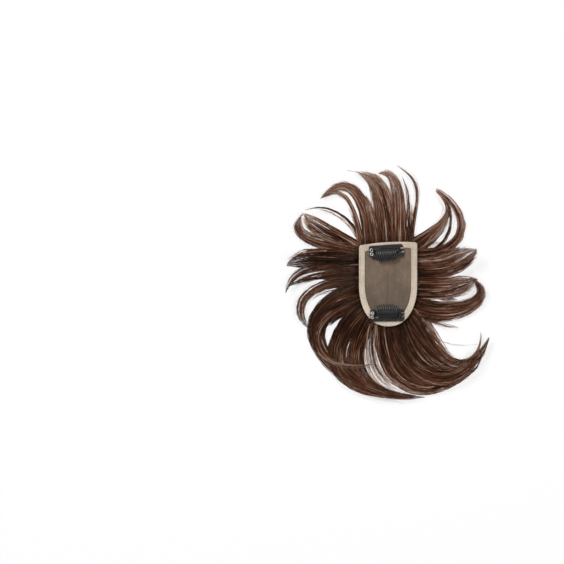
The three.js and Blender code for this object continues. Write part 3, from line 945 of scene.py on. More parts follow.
    def stitches(self, finish: bpy.types.Material) -> bpy.types.Object:
        """Running stitches in two rows round the tape, each a short bowed thread that dips in at its ends.

        Args:
            finish: Material of the thread.

        Returns:
            One object with every stitch.
        """
        skins = []
        for inset in (0.75, self.tape_width - 0.7):
            line = self.plan.outline(inset)
            line = np.concatenate([line, line[:1]])
            run = np.append(0, np.cumsum(np.linalg.norm(np.diff(line, axis=0), axis=1)))
            starts = np.arange(0, run[-1] - self.stitch_length, self.stitch_pitch)
            share = np.linspace(0, 1, 6)
            at = starts[:, None] + share[None] * self.stitch_length
            x = np.interp(at, run, line[:, 0])
            y = np.interp(at, run, line[:, 1])
            top = self.plan.height(x, y) + self.plan.gap + self.tape_thickness * 0.9
            z = top + 0.16 * np.sin(np.pi * share)[None] - 0.08
            paths = np.stack([x, y, z], -1)
            size = np.full(x.shape, self.thread)
            skins.append(tubes(paths, size, size, 6))
        piece = Skin.joined(skins).piece("tape_stitches", self.centre, finish)
        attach(piece, BODY)
        return piece


# Hair

LOCK_COLUMNS = (
    "root_x root_y aim tip_x tip_y tip_aim root_pull tip_pull "
    "width root_width fade level rise strands loose tone"
).split()
# Roots are shares of the base's half width and of its front or back length, and tips shares of the hair's
# reach. Headings are degrees, and a pull is the share of the span over which a lock keeps its heading. Widths
# are shares of a full lock and of the lock's own width at its root, fade is how late it narrows, level how high
# it lies, rise how far its tip curls up, strands its fullness, loose how far it parts into wisps, and tone how
# light it is. The low tones of the left locks by the base, blunt_left, fill_side, fill_low and the forks, are
# partly the hair's own dark and partly painted shade.
FRONT_LOCKS = {
    "stray_left": (-0.93, 0.97, 101, -0.718, 0.636, 203, 0.4, 0.39, 0.13, 1.2, 2.0, 0.2, 0.5, 0.5, 0.6, 0.4),
    "stray_fine": (-0.95, 0.95, 112, -0.654, 0.651, 182, 0.35, 0.38, 0.05, 1.3, 2.5, 0.3, 0.4, 0.1, 0.5, 0.5),
    "crest_inner": (-0.94, 1.0, 96, -0.56, 0.742, 223, 0.63, 0.48, 0.2, 1.7, 2.6, 0.1, 0.3, 0.8, 0.5, 0.58),
    "crest_outer": (-0.63, 1.0, 91, -0.58, 0.737, 229, 0.71, 0.64, 0.71, 0.9, 2.4, 0.0, 0.3, 1.0, 0.5, 0.58),
    "fill_left": (-0.42, 1.0, 95, -0.19, 0.77, 112, 0.35, 0.35, 0.54, 0.9, 2.0, 0.1, 0.2, 0.8, 0.6, 0.62),
    "crown_main": (-0.05, 1.0, 91, -0.25, 0.958, 172, 0.74, 0.24, 1.1, 0.9, 4.5, 0.0, 0.5, 1.1, 0.3, 0.61),
    "crown_right": (0.41, 1.0, 90, -0.08, 0.957, 204, 0.6, 0.31, 0.7, 0.95, 4.0, 0.2, 0.5, 1.0, 0.4, 0.61),
    "fill_right": (0.78, 1.0, 92, 0.197, 0.7, 92, 0.35, 0.35, 0.36, 1.0, 2.4, 0.0, 0.2, 0.7, 0.7, 0.64),
    "fringe_right": (0.66, 1.0, 90, 0.122, 0.93, 118, 0.4, 0.35, 0.24, 1.2, 2.0, 0.2, 0.3, 0.24, 0.7, 0.62),
    "crown_wisp": (0.8, 1.0, 86, 0.082, 1.018, 150, 0.5, 0.48, 0.16, 1.4, 2.4, 0.0, 0.4, 0.7, 0.5, 0.5),
    "crest_haze": (-0.95, 1.0, 100, -0.336, 0.664, 122, 0.35, 0.35, 0.2, 1.2, 2.0, 0.0, 0.2, 0.16, 0.5, 0.86),
    "crown_ends": (-0.05, 1.4, 95, -0.37, 0.98, 185, 0.55, 0.35, 0.16, 1.3, 1.6, 0.4, 0.5, 0.25, 0.7, 0.4),
    "crown_fine": (0.5, 1.3, 88, 0.02, 0.93, 125, 0.4, 0.35, 0.16, 1.3, 2.0, 0.2, 0.4, 0.2, 0.9, 0.6),
}
LEFT_LOCKS = {
    "hook_upper": (-0.97, 0.9, 153, -0.735, 0.608, 150, 0.33, 0.33, 0.44, 1.0, 8.0, 0.3, 0.9, 0.9, 0.6, 0.52),
    "hook_middle": (-0.97, 0.86, 160, -0.712, 0.602, 62, 0.53, 0.26, 0.42, 1.1, 5.0, 0.1, 0.8, 0.9, 0.7, 0.52),
    "hook_inner": (-0.98, 0.82, 166, -0.748, 0.58, 55, 0.54, 0.36, 0.3, 1.2, 4.0, 0.2, 0.8, 0.8, 0.7, 0.54),
    "hook_lower": (-0.98, 0.76, 173, -0.735, 0.604, 44, 0.55, 0.5, 0.44, 1.1, 2.6, 0.0, 0.6, 0.9, 0.6, 0.4),
    "fill_cheek": (-1.0, 0.7, 178, -0.728, 0.30, 178, 0.33, 0.33, 0.56, 1.1, 1.6, 0.0, 0.1, 0.8, 0.7, 0.44),
    "blunt_left": (-1.0, 0.61, 180, -0.868, 0.164, 226, 0.5, 0.2, 0.82, 0.9, 9.0, 0.2, 0.8, 1.2, 0.25, 0.18),
    "fill_side": (-1.0, 0.43, 180, -0.69, 0.15, 182, 0.33, 0.33, 0.54, 1.0, 3.0, 0.0, 0.2, 0.8, 0.3, 0.18),
    "fork_upper": (-1.0, 0.4, 178, -0.881, -0.068, 256, 0.59, 0.34, 0.34, 1.3, 6.0, 0.2, 0.5, 1.0, 0.5, 0.28),
    "fork_lower": (-1.0, 0.28, 180, -0.862, -0.014, 204, 0.4, 0.3, 0.38, 1.3, 4.0, 0.0, 0.3, 0.9, 0.6, 0.28),
    "fill_low": (-1.0, 0.12, 181, -0.577, 0.047, 188, 0.33, 0.33, 0.46, 1.1, 2.0, 0.0, 0.1, 0.7, 0.4, 0.2),
}
SWEEP_LOCKS = {
    "ring_outer": (-1.0, 0.05, 174, -0.68, -0.385, 312, 0.61, 0.56, 0.47, 1.2, 4.0, 0.0, 0.4, 1.0, 0.5, 0.36),
    "sweep_outer": (-0.97, -0.25, 194, 0.308, -0.974, 5, 0.82, 0.65, 0.74, 2.05, 3.6, 0.1, 0.2, 1.2, 0.3, 0.39),
    "sweep_cross": (-0.97, -0.35, 200, -0.118, -0.684, 15, 1.2, 0.85, 0.3, 1.2, 2.2, 0.9, 0.1, 0.8, 0.7, 0.48),
    "sweep_fill": (-0.9, -0.5, 216, -0.353, -0.25, 230, 0.33, 0.33, 0.6, 1.2, 2.0, 0.0, 0.0, 0.8, 0.2, 0.3),
    "sweep_throat": (-0.95, -0.5, 205, -0.503, -0.358, 235, 0.33, 0.33, 0.34, 1.3, 2.0, 0.0, 0.0, 0.6, 0.2, 0.34),
    "sweep_inner": (-0.86, -0.6, 225, 0.1, -0.97, 352, 0.71, 0.64, 1.06, 0.95, 3.0, 0.3, 0.3, 1.0, 0.3, 0.37),
    "sweep_core": (-0.62, -0.84, 235, 0.24, -0.96, 3, 0.61, 0.6, 0.8, 1.1, 3.0, 0.0, 0.2, 1.0, 0.4, 0.39),
    "ring_hair": (-1.0, -0.05, 188, -0.716, -0.195, 232, 0.45, 0.35, 0.06, 1.2, 4.0, 0.3, 0.3, 0.14, 0.3, 0.2),
}
NAPE_LOCKS = {
    "nape_left": (-0.18, -0.97, 270, 0.80, -0.565, 72, 0.91, 0.46, 0.86, 1.0, 3.0, 0.0, 0.3, 1.0, 0.3, 0.45),
    "nape_under": (0.06, -0.97, 273, 0.72, -0.66, 60, 0.82, 0.5, 0.7, 1.0, 3.0, 0.0, 0.1, 0.6, 0.6, 0.32),
    "nape_middle": (0.32, -0.95, 277, 0.79, -0.56, 70, 0.73, 0.55, 1.04, 1.0, 3.0, 0.3, 0.5, 1.0, 0.4, 0.44),
    "nape_low": (0.52, -0.92, 288, 0.775, -0.57, 66, 0.7, 0.54, 0.7, 1.0, 3.0, 0.0, 0.2, 0.9, 0.45, 0.36),
    "nape_right": (0.72, -0.78, 300, 0.87, -0.462, 68, 0.77, 0.58, 0.84, 1.15, 2.2, 0.1, 0.4, 1.0, 0.5, 0.46),
    "nape_spike": (2.78, -1.84, 38, 0.803, -0.41, 98, 0.4, 0.4, 0.13, 1.3, 1.4, 0.1, 0.3, 0.3, 0.6, 0.5),
    "nape_edge": (1.78, -2.44, 22, 0.817, -0.607, 76, 0.45, 0.45, 0.14, 1.2, 2.0, 0.2, 0.3, 0.4, 0.5, 0.16),
    "gap_hair": (-0.62, -1.1, 262, 0.17, -0.947, 350, 0.5, 0.42, 0.6, 0.5, 3.0, 0.0, 0.1, 0.18, 0.15, 0.76),
    "gap_veil": (-0.4, -0.95, 262, 0.28, -0.93, 348, 0.56, 0.44, 0.5, 0.9, 2.5, 0.0, 0.1, 0.18, 0.15, 0.76),
    "bay_wisps": (0.84, -0.64, 318, 0.62, -0.668, 350, 0.55, 0.3, 0.64, 1.2, 1.8, 0.1, 0.2, 0.36, 0.8, 0.64),
}
RIGHT_LOCKS = {
    "cuff_lower": (0.95, -0.51, 335, 0.708, 0.06, 150, 0.69, 0.67, 1.05, 0.95, 2.2, 0.0, 0.5, 1.0, 0.4, 0.46),
    "cuff_upper": (1.0, -0.09, 356, 0.764, 0.046, 28, 0.5, 0.3, 1.04, 1.05, 6.0, 0.4, 0.8, 1.0, 0.4, 0.54),
    "fill_cuff": (1.0, 0.16, 357, 0.54, 0.051, 8, 0.33, 0.33, 0.56, 1.0, 3.0, 0.0, 0.1, 0.6, 0.3, 0.36),
    "fill_opening": (1.0, -0.02, 351, 0.60, -0.132, 12, 0.4, 0.33, 0.42, 1.0, 3.0, 0.0, 0.2, 0.6, 0.4, 0.4),
    "blunt_right": (1.0, 0.38, 356, 0.757, 0.296, 42, 0.45, 0.3, 1.08, 1.0, 10.0, 0.1, 1.0, 1.1, 0.4, 0.48),
    "fill_blunt": (1.0, 0.58, 358, 0.632, 0.285, 40, 0.4, 0.33, 0.52, 1.0, 3.0, 0.0, 0.2, 0.8, 0.3, 0.44),
    "fill_crescent": (1.0, 0.68, 357, 0.62, 0.318, 40, 0.4, 0.33, 0.38, 1.0, 3.0, 0.0, 0.2, 0.6, 0.4, 0.46),
    "crescent": (1.0, 0.7, 0, 0.42, 0.824, 145, 0.77, 0.685, 0.46, 1.3, 2.4, 0.0, 0.3, 1.0, 0.6, 0.52),
    "crescent_hair": (1.0, 0.74, 358, 0.42, 0.8, 150, 0.6, 0.42, 0.13, 1.2, 4.0, 0.4, 0.4, 0.45, 0.4, 0.24),
    "fan_lower": (1.0, 0.82, 35, 0.516, 0.66, 92, 0.42, 0.42, 0.46, 1.0, 1.8, 0.1, 0.3, 0.9, 0.5, 0.56),
    "fan_right": (0.98, 0.95, 43, 0.415, 0.802, 142, 0.54, 0.67, 0.8, 1.0, 0.5, 0.2, 0.4, 1.0, 0.6, 0.58),
    "cuff_wisps": (0.86, -0.6, 322, 0.618, -0.375, 350, 0.5, 0.4, 0.4, 1.1, 1.6, 0.1, 0.2, 0.22, 0.9, 0.66),
    "bay_hair": (0.8, -0.66, 312, 0.824, -0.513, 8, 0.5, 0.55, 0.05, 1.5, 2.0, 0.2, 0.2, 0.03, 0.5, 0.4),
}
LOCKS = {
    Section.FRONT: FRONT_LOCKS,
    Section.LEFT: LEFT_LOCKS,
    Section.SWEEP: SWEEP_LOCKS,
    Section.NAPE: NAPE_LOCKS,
    Section.RIGHT: RIGHT_LOCKS,
}


@dataclass(frozen=True)
class Lock:
    """One lock of hair, an oval of strands along a cubic curve in plan, in millimetres."""

    root_x: float
    root_y: float
    aim: float
    tip_x: float
    tip_y: float
    tip_aim: float
    root_pull: float
    tip_pull: float
    width: float
    root_width: float
    fade: float
    level: float
    rise: float
    strands: float
    loose: float
    tone: float
    reach: float = 120.0
    full_width: float = 20.0
    full_depth: float = 8.0
    tip_depth: float = 2.4
    full_rise: float = 20.0
    root_lift: float = 1.6
    tuck: float = 10.0
    pad_floor: float = 1.2
    under_gap: float = 0.5
    branch_near: float = 4.0
    branch_far: float = 14.0

    def curve(self, plan: BasePlan) -> tuple[np.ndarray, np.ndarray]:
        """The lock's middle line in plan, p(t) = Σ Bernstein(t)·control, at even steps of t.

        Args:
            plan: The base's plan.

        Returns:
            The line's points and the length run at each.
        """
        end = plan.front if self.root_y > 0 else plan.back
        root = np.array([self.root_x * plan.width / 2, self.root_y * end])
        tip = np.array([self.tip_x, self.tip_y]) * self.reach
        span = np.linalg.norm(tip - root)
        aims = np.radians([self.aim, self.tip_aim])
        leave, arrive = np.stack([np.cos(aims), np.sin(aims)], -1)
        near = root + leave * self.root_pull * span
        far = tip - arrive * self.tip_pull * span
        t = np.linspace(0, 1, 241)[:, None]
        line = (1 - t) ** 3 * root + 3 * (1 - t) ** 2 * t * near
        line = line + 3 * (1 - t) * t**2 * far + t**3 * tip
        run = np.append(0, np.cumsum(np.linalg.norm(np.diff(line, axis=0), axis=1)))
        return line, run

    def section(self, v: np.ndarray) -> tuple[np.ndarray, np.ndarray, np.ndarray]:
        """Half width, half depth and height of the oval at shares of the lock's length.

        Args:
            v: Shares of the length, below 0 under the base.

        Returns:
            Three arrays in the shape of v.
        """
        v = np.clip(v, 0, 1)
        depth_share = 0.4 + 0.6 * min(1, self.width / 0.6)
        belly = self.root_width + (1 - self.root_width) * np.minimum(1, v / 0.4)
        close = 1 - v**self.fade
        half_width = self.full_width / 2 * self.width * belly * close
        thick = self.full_depth * depth_share
        half_depth = (thick + (self.tip_depth - thick) * v**0.7) / 2 * np.sqrt(close)
        rise = self.rise * self.full_rise * smoothstep(v, 0.35, 1) ** 1.5
        near = smoothstep(v, 0, 0.3)
        height = half_depth + self.level * thick * near + self.root_lift * (1 - near) + rise
        return half_width, half_depth, height

    def placed(self, plan: BasePlan, v: np.ndarray, across: np.ndarray, up: np.ndarray) -> np.ndarray:
        """Points in the lock: its middle line plus across·half width to its left and up·half depth.

        Under the base a point lies between the surface and the net, and it comes down to the lock's own oval
        over the first fifth of the length. A wisp that parts from another lock well beyond the base lies in its
        own oval all along.

        Args:
            plan: The base's plan.
            v: Shares of the length.
            across: Places across the oval, from -1 to 1.
            up: Places up the oval, from -1 to 1.

        Returns:
            Points in the shape of v.
        """
        line, run = self.curve(plan)
        at = v * run[-1]
        gradient = np.gradient(line, axis=0)
        heading = np.unwrap(np.arctan2(gradient[:, 1], gradient[:, 0]))
        turn = np.interp(at, run, heading)
        before = np.minimum(at, 0)
        after = np.maximum(at - run[-1], 0)
        cosine, sine = np.cos(turn), np.sin(turn)
        half_width, half_depth, height = self.section(v)
        off = across * (half_width * 1.04 + 0.5)
        x = np.interp(at, run, line[:, 0]) + (before + after) * cosine - sine * off
        y = np.interp(at, run, line[:, 1]) + (before + after) * sine + cosine * off
        inside_x = np.clip(x, -plan.width / 2, plan.width / 2)
        inside_y = np.clip(y, -plan.back, plan.front)
        under = plan.height(inside_x, inside_y) - plan.net_thickness - plan.gap - self.under_gap
        root_height = self.pad_floor + (under - self.pad_floor) * (np.clip(up, -1, 1) + 1) / 2
        beyond = np.hypot(*np.maximum(np.abs(line[0]) - (plan.width / 2, plan.front), 0))
        branched = smoothstep(beyond, self.branch_near, self.branch_far)
        fall = np.maximum(smoothstep(v, -0.02, 0.22), branched)
        z = root_height * (1 - fall) + (height + half_depth * up) * fall
        return np.stack([x, y, z], -1)


@dataclass
class HairMass:
    """The hair: strands gathered in locks, with a fuller body inside each lock and a pad under the base."""

    plan: BasePlan
    centre: np.ndarray
    seed: int = 7
    least_strands: int = 110
    full_strands: int = 560
    strand: float = 0.15
    spacing: float = 15.0
    bundle_size: int = 6
    wisp_bundles: int = 6
    flyaways: float = 0.08
    sides: int = 3
    wisp_tint: float = 0.06
    bundle_tint: float = 0.21
    strand_tint: float = 0.17
    glint: float = 0.20
    glint_length: float = 8.0
    body_stations: int = 30
    body_sides: int = 14
    body_depth: float = 0.75
    pad_inset: float = 0.6
    fringe_inset: float = 2.4
    fringe_pitch: float = 3.6
    fringe_reach: tuple[float, float] = (20.0, 34.0)
    corner_reach: float = 12.0
    corner_x: float = 27.0
    corner_y: float = 34.0
    corner_half: float = 3.0

    @staticmethod
    def scattered(count: int, rng: np.random.Generator) -> tuple[np.ndarray, np.ndarray]:
        """Chance places in a disc, a little denser at its rim than in its middle.

        Args:
            count: How many places.
            rng: Source of chance.

        Returns:
            Places across and up, from -1 to 1.
        """
        radius, angle = rng.random(count) ** 0.42, rng.random(count) * 2 * np.pi
        return radius * np.cos(angle), radius * np.sin(angle)

    @staticmethod
    def nearest(across: np.ndarray, up: np.ndarray, to_across: np.ndarray, to_up: np.ndarray) -> np.ndarray:
        """The nearest of some places to each of others, where distance up counts half.

        Args:
            across: Places across.
            up: Places up.
            to_across: Places to choose from, across.
            to_up: Places to choose from, up.

        Returns:
            The chosen place's number for each place.
        """
        apart = (across[:, None] - to_across) ** 2 + 0.25 * (up[:, None] - to_up) ** 2
        return np.argmin(apart, axis=1)

    def strands(self, lock: Lock, rng: np.random.Generator) -> Skin:
        """The strands of one lock.

        Each strand starts at a chance place in the oval and closes on the middle of its own bundle. Along the
        lock the bundles close on the middle of their wisp, the wisps drift apart, and slow waves and flyaways
        are added.

        Args:
            lock: The lock.
            rng: Source of chance, in a fixed order.

        Returns:
            The strands with their tint and reach.
        """
        count = max(3, round((self.least_strands + self.full_strands * lock.width) * lock.strands))
        bundles = max(3, round(count / self.bundle_size))
        wisps = max(2, round(bundles / self.wisp_bundles))
        across, up = self.scattered(count, rng)
        bundle_across, bundle_up = self.scattered(bundles, rng)
        wisp_across, wisp_up = self.scattered(wisps, rng)
        own = self.nearest(across, up, bundle_across, bundle_up)
        wisp = self.nearest(bundle_across, bundle_up, wisp_across, wisp_up)
        length = lock.curve(self.plan)[1][-1]
        stations = int(np.clip(round((length + lock.tuck) / self.spacing) + 1, 5, 20))
        bundle_end = 1.01 - 0.27 * rng.random(bundles) ** 2
        end = bundle_end[own] * (1 - 0.14 * rng.random(count) ** 2)
        start = -lock.tuck / length * (0.3 + 0.7 * rng.random(count))
        share = np.linspace(0, 1, stations)[None]
        v = start[:, None] + (end - start)[:, None] * share
        close = min(0.62, 0.2 + lock.strands) * smoothstep(v, -0.03, 0.25)
        gather = lock.loose * smoothstep(v, 0.10, 0.85) * 0.85
        stray = (0.10 + 0.10 * lock.loose) * smoothstep(v, 0.10, 1.0)
        stray = stray * rng.normal(size=bundles)[own][:, None]
        drift = lock.loose * 0.5 * smoothstep(v, 0.3, 1.0) * rng.normal(size=wisps)[wisp][own][:, None]
        a = across[:, None] + (bundle_across[own] - across)[:, None] * close
        b = up[:, None] + (bundle_up[own] - up)[:, None] * close
        a = a + (wisp_across[wisp] - bundle_across)[own][:, None] * gather + drift + stray
        b = b + (wisp_up[wisp] - bundle_up)[own][:, None] * gather
        points = lock.placed(self.plan, v, a, b)
        flyaway = rng.random(count) < self.flyaways
        points = points + self.waves(points, share, own, flyaway, rng)
        fine = rng.uniform(0.8, 1.2, count) * np.where(flyaway, 0.6, 1.0) * self.strand
        size = fine[:, None] * (1 - 0.72 * share**3)
        points[..., 2] = np.maximum(points[..., 2], size + 0.06)
        skin = tubes(points, size, size, self.sides, rng.random(count) * 2 * np.pi)
        tint = lock.tone + rng.normal(0, self.wisp_tint, wisps)[wisp][own]
        tint = tint + rng.normal(0, self.bundle_tint, bundles)[own]
        tint = tint + rng.normal(0, self.strand_tint, count)
        glint = rng.normal(0, self.glint, bundles)[own][:, None]
        phase = 2 * np.pi * rng.random(bundles)[own][:, None]
        glint = glint * np.sin(v * length / self.glint_length + phase)
        skin.values["tint"] = per_point(tint[:, None] + glint, self.sides)
        skin.values["reach"] = per_point(np.clip(v, 0, 1), self.sides)
        return skin

    def waves(
        self,
        points: np.ndarray,
        share: np.ndarray,
        own: np.ndarray,
        flyaway: np.ndarray,
        rng: np.random.Generator,
    ) -> np.ndarray:
        """Small departures from the lock.

        They are slow sines that a bundle's strands share, fainter ones of each strand's own, and a bow outwards
        on each flyaway.

        Args:
            points: Stations of the strands.
            share: Share along each strand.
            own: The bundle of each strand.
            flyaway: Which strands stand away.
            rng: Source of chance.

        Returns:
            Offsets in the shape of points.
        """
        count, bundles = len(points), own.max() + 1
        run = np.cumsum(np.linalg.norm(np.diff(points, axis=1, prepend=points[:, :1]), axis=2), axis=1)
        offsets = np.zeros_like(points)
        for axis, swing in ((0, 0.30), (1, 0.30), (2, 0.25)):
            for wave in (84.0, 47.0):
                phase = (rng.random((bundles, 1)) * 2 * np.pi)[own] + rng.normal(0, 0.35, (count, 1))
                size = rng.normal(0, swing * wave / 60, (bundles, 1))[own]
                offsets[..., axis] += size * np.sin(run * 2 * np.pi / wave + phase) * share
            phase = rng.random((count, 1)) * 2 * np.pi
            offsets[..., axis] += rng.normal(0, 0.12, (count, 1)) * np.sin(run * 2 * np.pi / 36 + phase)
        bow = rng.normal(0, 3.6, (count, 1, 3)) * flyaway[:, None, None] * (share**2)[..., None]
        return offsets + bow * np.array([1.0, 1.0, 0.45])

    def body(self, lock: Lock) -> Skin | None:
        """The fuller middle of a lock, an oval tube inside its strands whose darker tint is painted shade, or
        nothing in a thin wisp.

        Args:
            lock: The lock.

        Returns:
            The tube with its tint and reach.
        """
        if lock.width < 0.25 or lock.strands < 0.5:
            return None
        fill = 0.84 - 0.40 * lock.loose
        last = 0.80 - 0.45 * lock.loose
        length = lock.curve(self.plan)[1][-1]
        v = np.linspace(-lock.tuck / length, last, self.body_stations)[None]
        zero = np.zeros_like(v)
        middle = lock.placed(self.plan, v, zero, zero)
        half_width, half_depth, _ = lock.section(v)
        share = np.linspace(0, 1, self.body_stations)[None]
        close = np.sqrt(np.clip(1 - share**5, 0.02, 1))
        half_width = half_width * fill * close
        half_depth = half_depth * fill * close * self.body_depth
        skin = tubes(middle, half_width, half_depth, self.body_sides)
        skin.points[:, 2] = np.maximum(skin.points[:, 2], 0.1)
        # Painted shade inside the lock: the body's tint is 0.14 below its lock's tone.
        skin.values["tint"] = per_point(np.broadcast_to(lock.tone - 0.14, v.shape), self.body_sides)
        skin.values["reach"] = per_point(np.clip(v, 0, 1), self.body_sides)
        return skin

    def fringe(self, rng: np.random.Generator) -> list[Lock]:
        """Short locks all round the base, which leave its edge the way that the long locks beside them do.

        Args:
            rng: Source of chance.

        Returns:
            The short locks.
        """
        rows = [dict(zip(LOCK_COLUMNS, row)) for table in LOCKS.values() for row in table.values()]
        rows = [row for row in rows if abs(row["root_y"]) <= 1 and row["strands"] > 0.4]
        ends = np.array([self.plan.front if row["root_y"] > 0 else self.plan.back for row in rows])
        x = np.array([row["root_x"] for row in rows]) * self.plan.width / 2
        y = np.array([row["root_y"] for row in rows]) * ends
        aim = np.array([row["aim"] for row in rows], dtype=float)
        tone = np.array([row["tone"] for row in rows])
        turn = np.degrees(np.arctan2(y, x)) % 360
        aim = turn + (aim - turn + 180) % 360 - 180
        order = np.argsort(turn)
        line = self.plan.outline(self.fringe_inset)
        run = np.append(0, np.cumsum(np.linalg.norm(np.diff(line, axis=0), axis=1)))
        locks = []
        for at in np.arange(0, run[-1], self.fringe_pitch):
            root = np.array([np.interp(at, run[:-1], line[:-1, 0]), np.interp(at, run[:-1], line[:-1, 1])])
            here = math.degrees(math.atan2(root[1], root[0])) % 360
            head = float(np.interp(here, turn[order], aim[order], period=360))
            head += rng.normal(0, 4)
            corner = abs(abs(root[0]) - self.corner_x) < self.corner_half and root[1] > self.corner_y
            reach = self.corner_reach if corner else rng.uniform(*self.fringe_reach)
            tip = root + reach * np.array([math.cos(math.radians(head)), math.sin(math.radians(head))])
            tip_x, tip_y = tip / Lock.reach
            end = self.plan.front if root[1] > 0 else self.plan.back
            shade = float(np.interp(here, turn[order], tone[order], period=360))
            locks.append(
                Lock(
                    root_x=root[0] / (self.plan.width / 2),
                    root_y=root[1] / end,
                    aim=head,
                    tip_x=tip_x,
                    tip_y=tip_y,
                    tip_aim=head,
                    root_pull=0.33,
                    tip_pull=0.33,
                    width=0.3,
                    root_width=1.2,
                    fade=2.0,
                    level=0.3,
                    rise=0.0,
                    strands=0.07,
                    loose=0.1,
                    tone=shade,
                )
            )
        return locks

    def pad(self, finish: bpy.types.Material) -> bpy.types.Object:
        """The knotted hair under the base: flat below, close under the net, and sloping off beyond its edge.

        Args:
            finish: Material of the hair's body.

        Returns:
            The pad's object.
        """
        drop = self.plan.net_thickness + self.plan.gap
        rim = self.plan.outline(self.pad_inset)
        rim_height = self.plan.height(rim[:, 0], rim[:, 1]) - drop
        rings = []
        for share in np.linspace(0.04, 1, 16):
            edge = rim * share
            rings.append(np.column_stack([edge, self.plan.height(edge[:, 0], edge[:, 1]) - drop]))
        for inset, share in ((0.2, 0.9), (-0.6, 0.72), (-1.6, 0.5), (-2.6, 0.3), (-2.6, 0.1), (-1.2, 0.0)):
            rings.append(np.column_stack([self.plan.outline(inset), rim_height * share]))
        for share in (0.7, 0.35, 0.04):
            rings.append(np.column_stack([self.plan.outline(0) * share, np.zeros(len(rim))]))
        rings = np.stack(rings)[::-1]
        rows, columns = rings.shape[:2]
        ends = np.array([[0, 0, 0], [0, 0, self.plan.level - drop]])
        points = np.concatenate([rings.reshape(-1, 3), ends])
        quads = grid_quads(rows, columns)
        triangles = end_fans(rows, columns)
        turn = np.arctan2(points[:, 1], points[:, 0]) / (2 * np.pi) + 0.5
        flat = np.stack([np.hypot(points[:, 0], points[:, 1]) / 60, turn], -1)
        uv = np.concatenate([flat[quads].reshape(-1, 2), flat[triangles].reshape(-1, 2)])
        values = {"tint": np.full(len(points), 0.22), "reach": np.zeros(len(points))}
        piece = Skin(points, quads, triangles, uv, values).piece("hair_root_pad", self.centre, finish)
        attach(piece, BODY)
        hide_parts(*sorted(set(SECTION_NODES.values())))
        return piece

    def build(
        self, strand_finish: bpy.types.Material, body_finish: bpy.types.Material
    ) -> list[bpy.types.Object]:
        """Every piece of the hair.

        Args:
            strand_finish: Material of the strands.
            body_finish: Material of the bodies inside them.

        Returns:
            The pieces, which ride with the base.
        """
        pieces = [self.pad(body_finish)]
        for number, (section, table) in enumerate(LOCKS.items()):
            locks = [Lock(**dict(zip(LOCK_COLUMNS, row))) for row in table.values()]
            chances = [np.random.default_rng([self.seed, number, place]) for place in range(len(locks))]
            strands = Skin.joined([self.strands(lock, rng) for lock, rng in zip(locks, chances)])
            bodies = [body for body in map(self.body, locks) if body is not None]
            made = [
                strands.piece(f"hair_{section.value}_strands", self.centre, strand_finish),
                Skin.joined(bodies).piece(f"hair_{section.value}_body", self.centre, body_finish),
            ]
            for piece in made:
                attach(piece, BODY)
                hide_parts(SECTION_NODES[section])
            pieces += made
        rng = np.random.default_rng(self.seed)
        short = Skin.joined([self.strands(lock, rng) for lock in self.fringe(rng)])
        fringe = short.piece("hair_edge_strands", self.centre, strand_finish)
        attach(fringe, BODY)
        return pieces + [fringe]


# Clips


@dataclass(frozen=True)
class ClipSizes:
    """Sizes of a snap clip in millimetres. X runs along it, Y inwards from its outer edge and Z up."""

    length: float = 35.0
    depth: float = 12.4
    plate: float = 0.8
    bar: float = 3.4
    ear: float = 5.0
    bow_bar: float = 3.0
    pin_radius: float = 0.5
    pin_clearance: float = 0.3
    pin_length: float = 1.2
    hinge_setback: float = 1.7
    spine_width: float = 1.6
    tooth_count: int = 10
    tooth_pitch: float = 2.2
    tooth_width: float = 1.6
    tooth_thickness: float = 0.7
    tooth_reach: float = 5.2
    tooth_rounding: float = 0.10
    tooth_lift: float = 0.3
    grip_thickness: float = 1.0
    hole: float = 1.5
    hole_rows: tuple[float, float] = (0.36, 0.7)
    rim_offset: float = 0.66
    rim_half: float = 0.42
    rim_height: float = 0.2
    # How far the dark plugs that paint the shade in the sewing holes reach past each hole
    hole_shade_margin: float = 0.25
    plate_rounding: float = 0.16
    grip_rounding: float = 0.10
    thread_radius: float = 0.13
    sewn_threads: int = 6
    gap: float = 0.3

    @property
    def window_half(self) -> float:
        """Half the length of the window."""
        return self.length / 2 - self.ear

    @property
    def hole_x(self) -> float:
        """How far the sewing holes are from the clip's middle."""
        return (self.length / 2 + self.window_half) / 2

    @property
    def hinge(self) -> np.ndarray:
        """Place of the hinge line."""
        height = self.plate + self.pin_radius + self.pin_clearance
        return np.array([0.0, self.bar + self.hinge_setback, height])


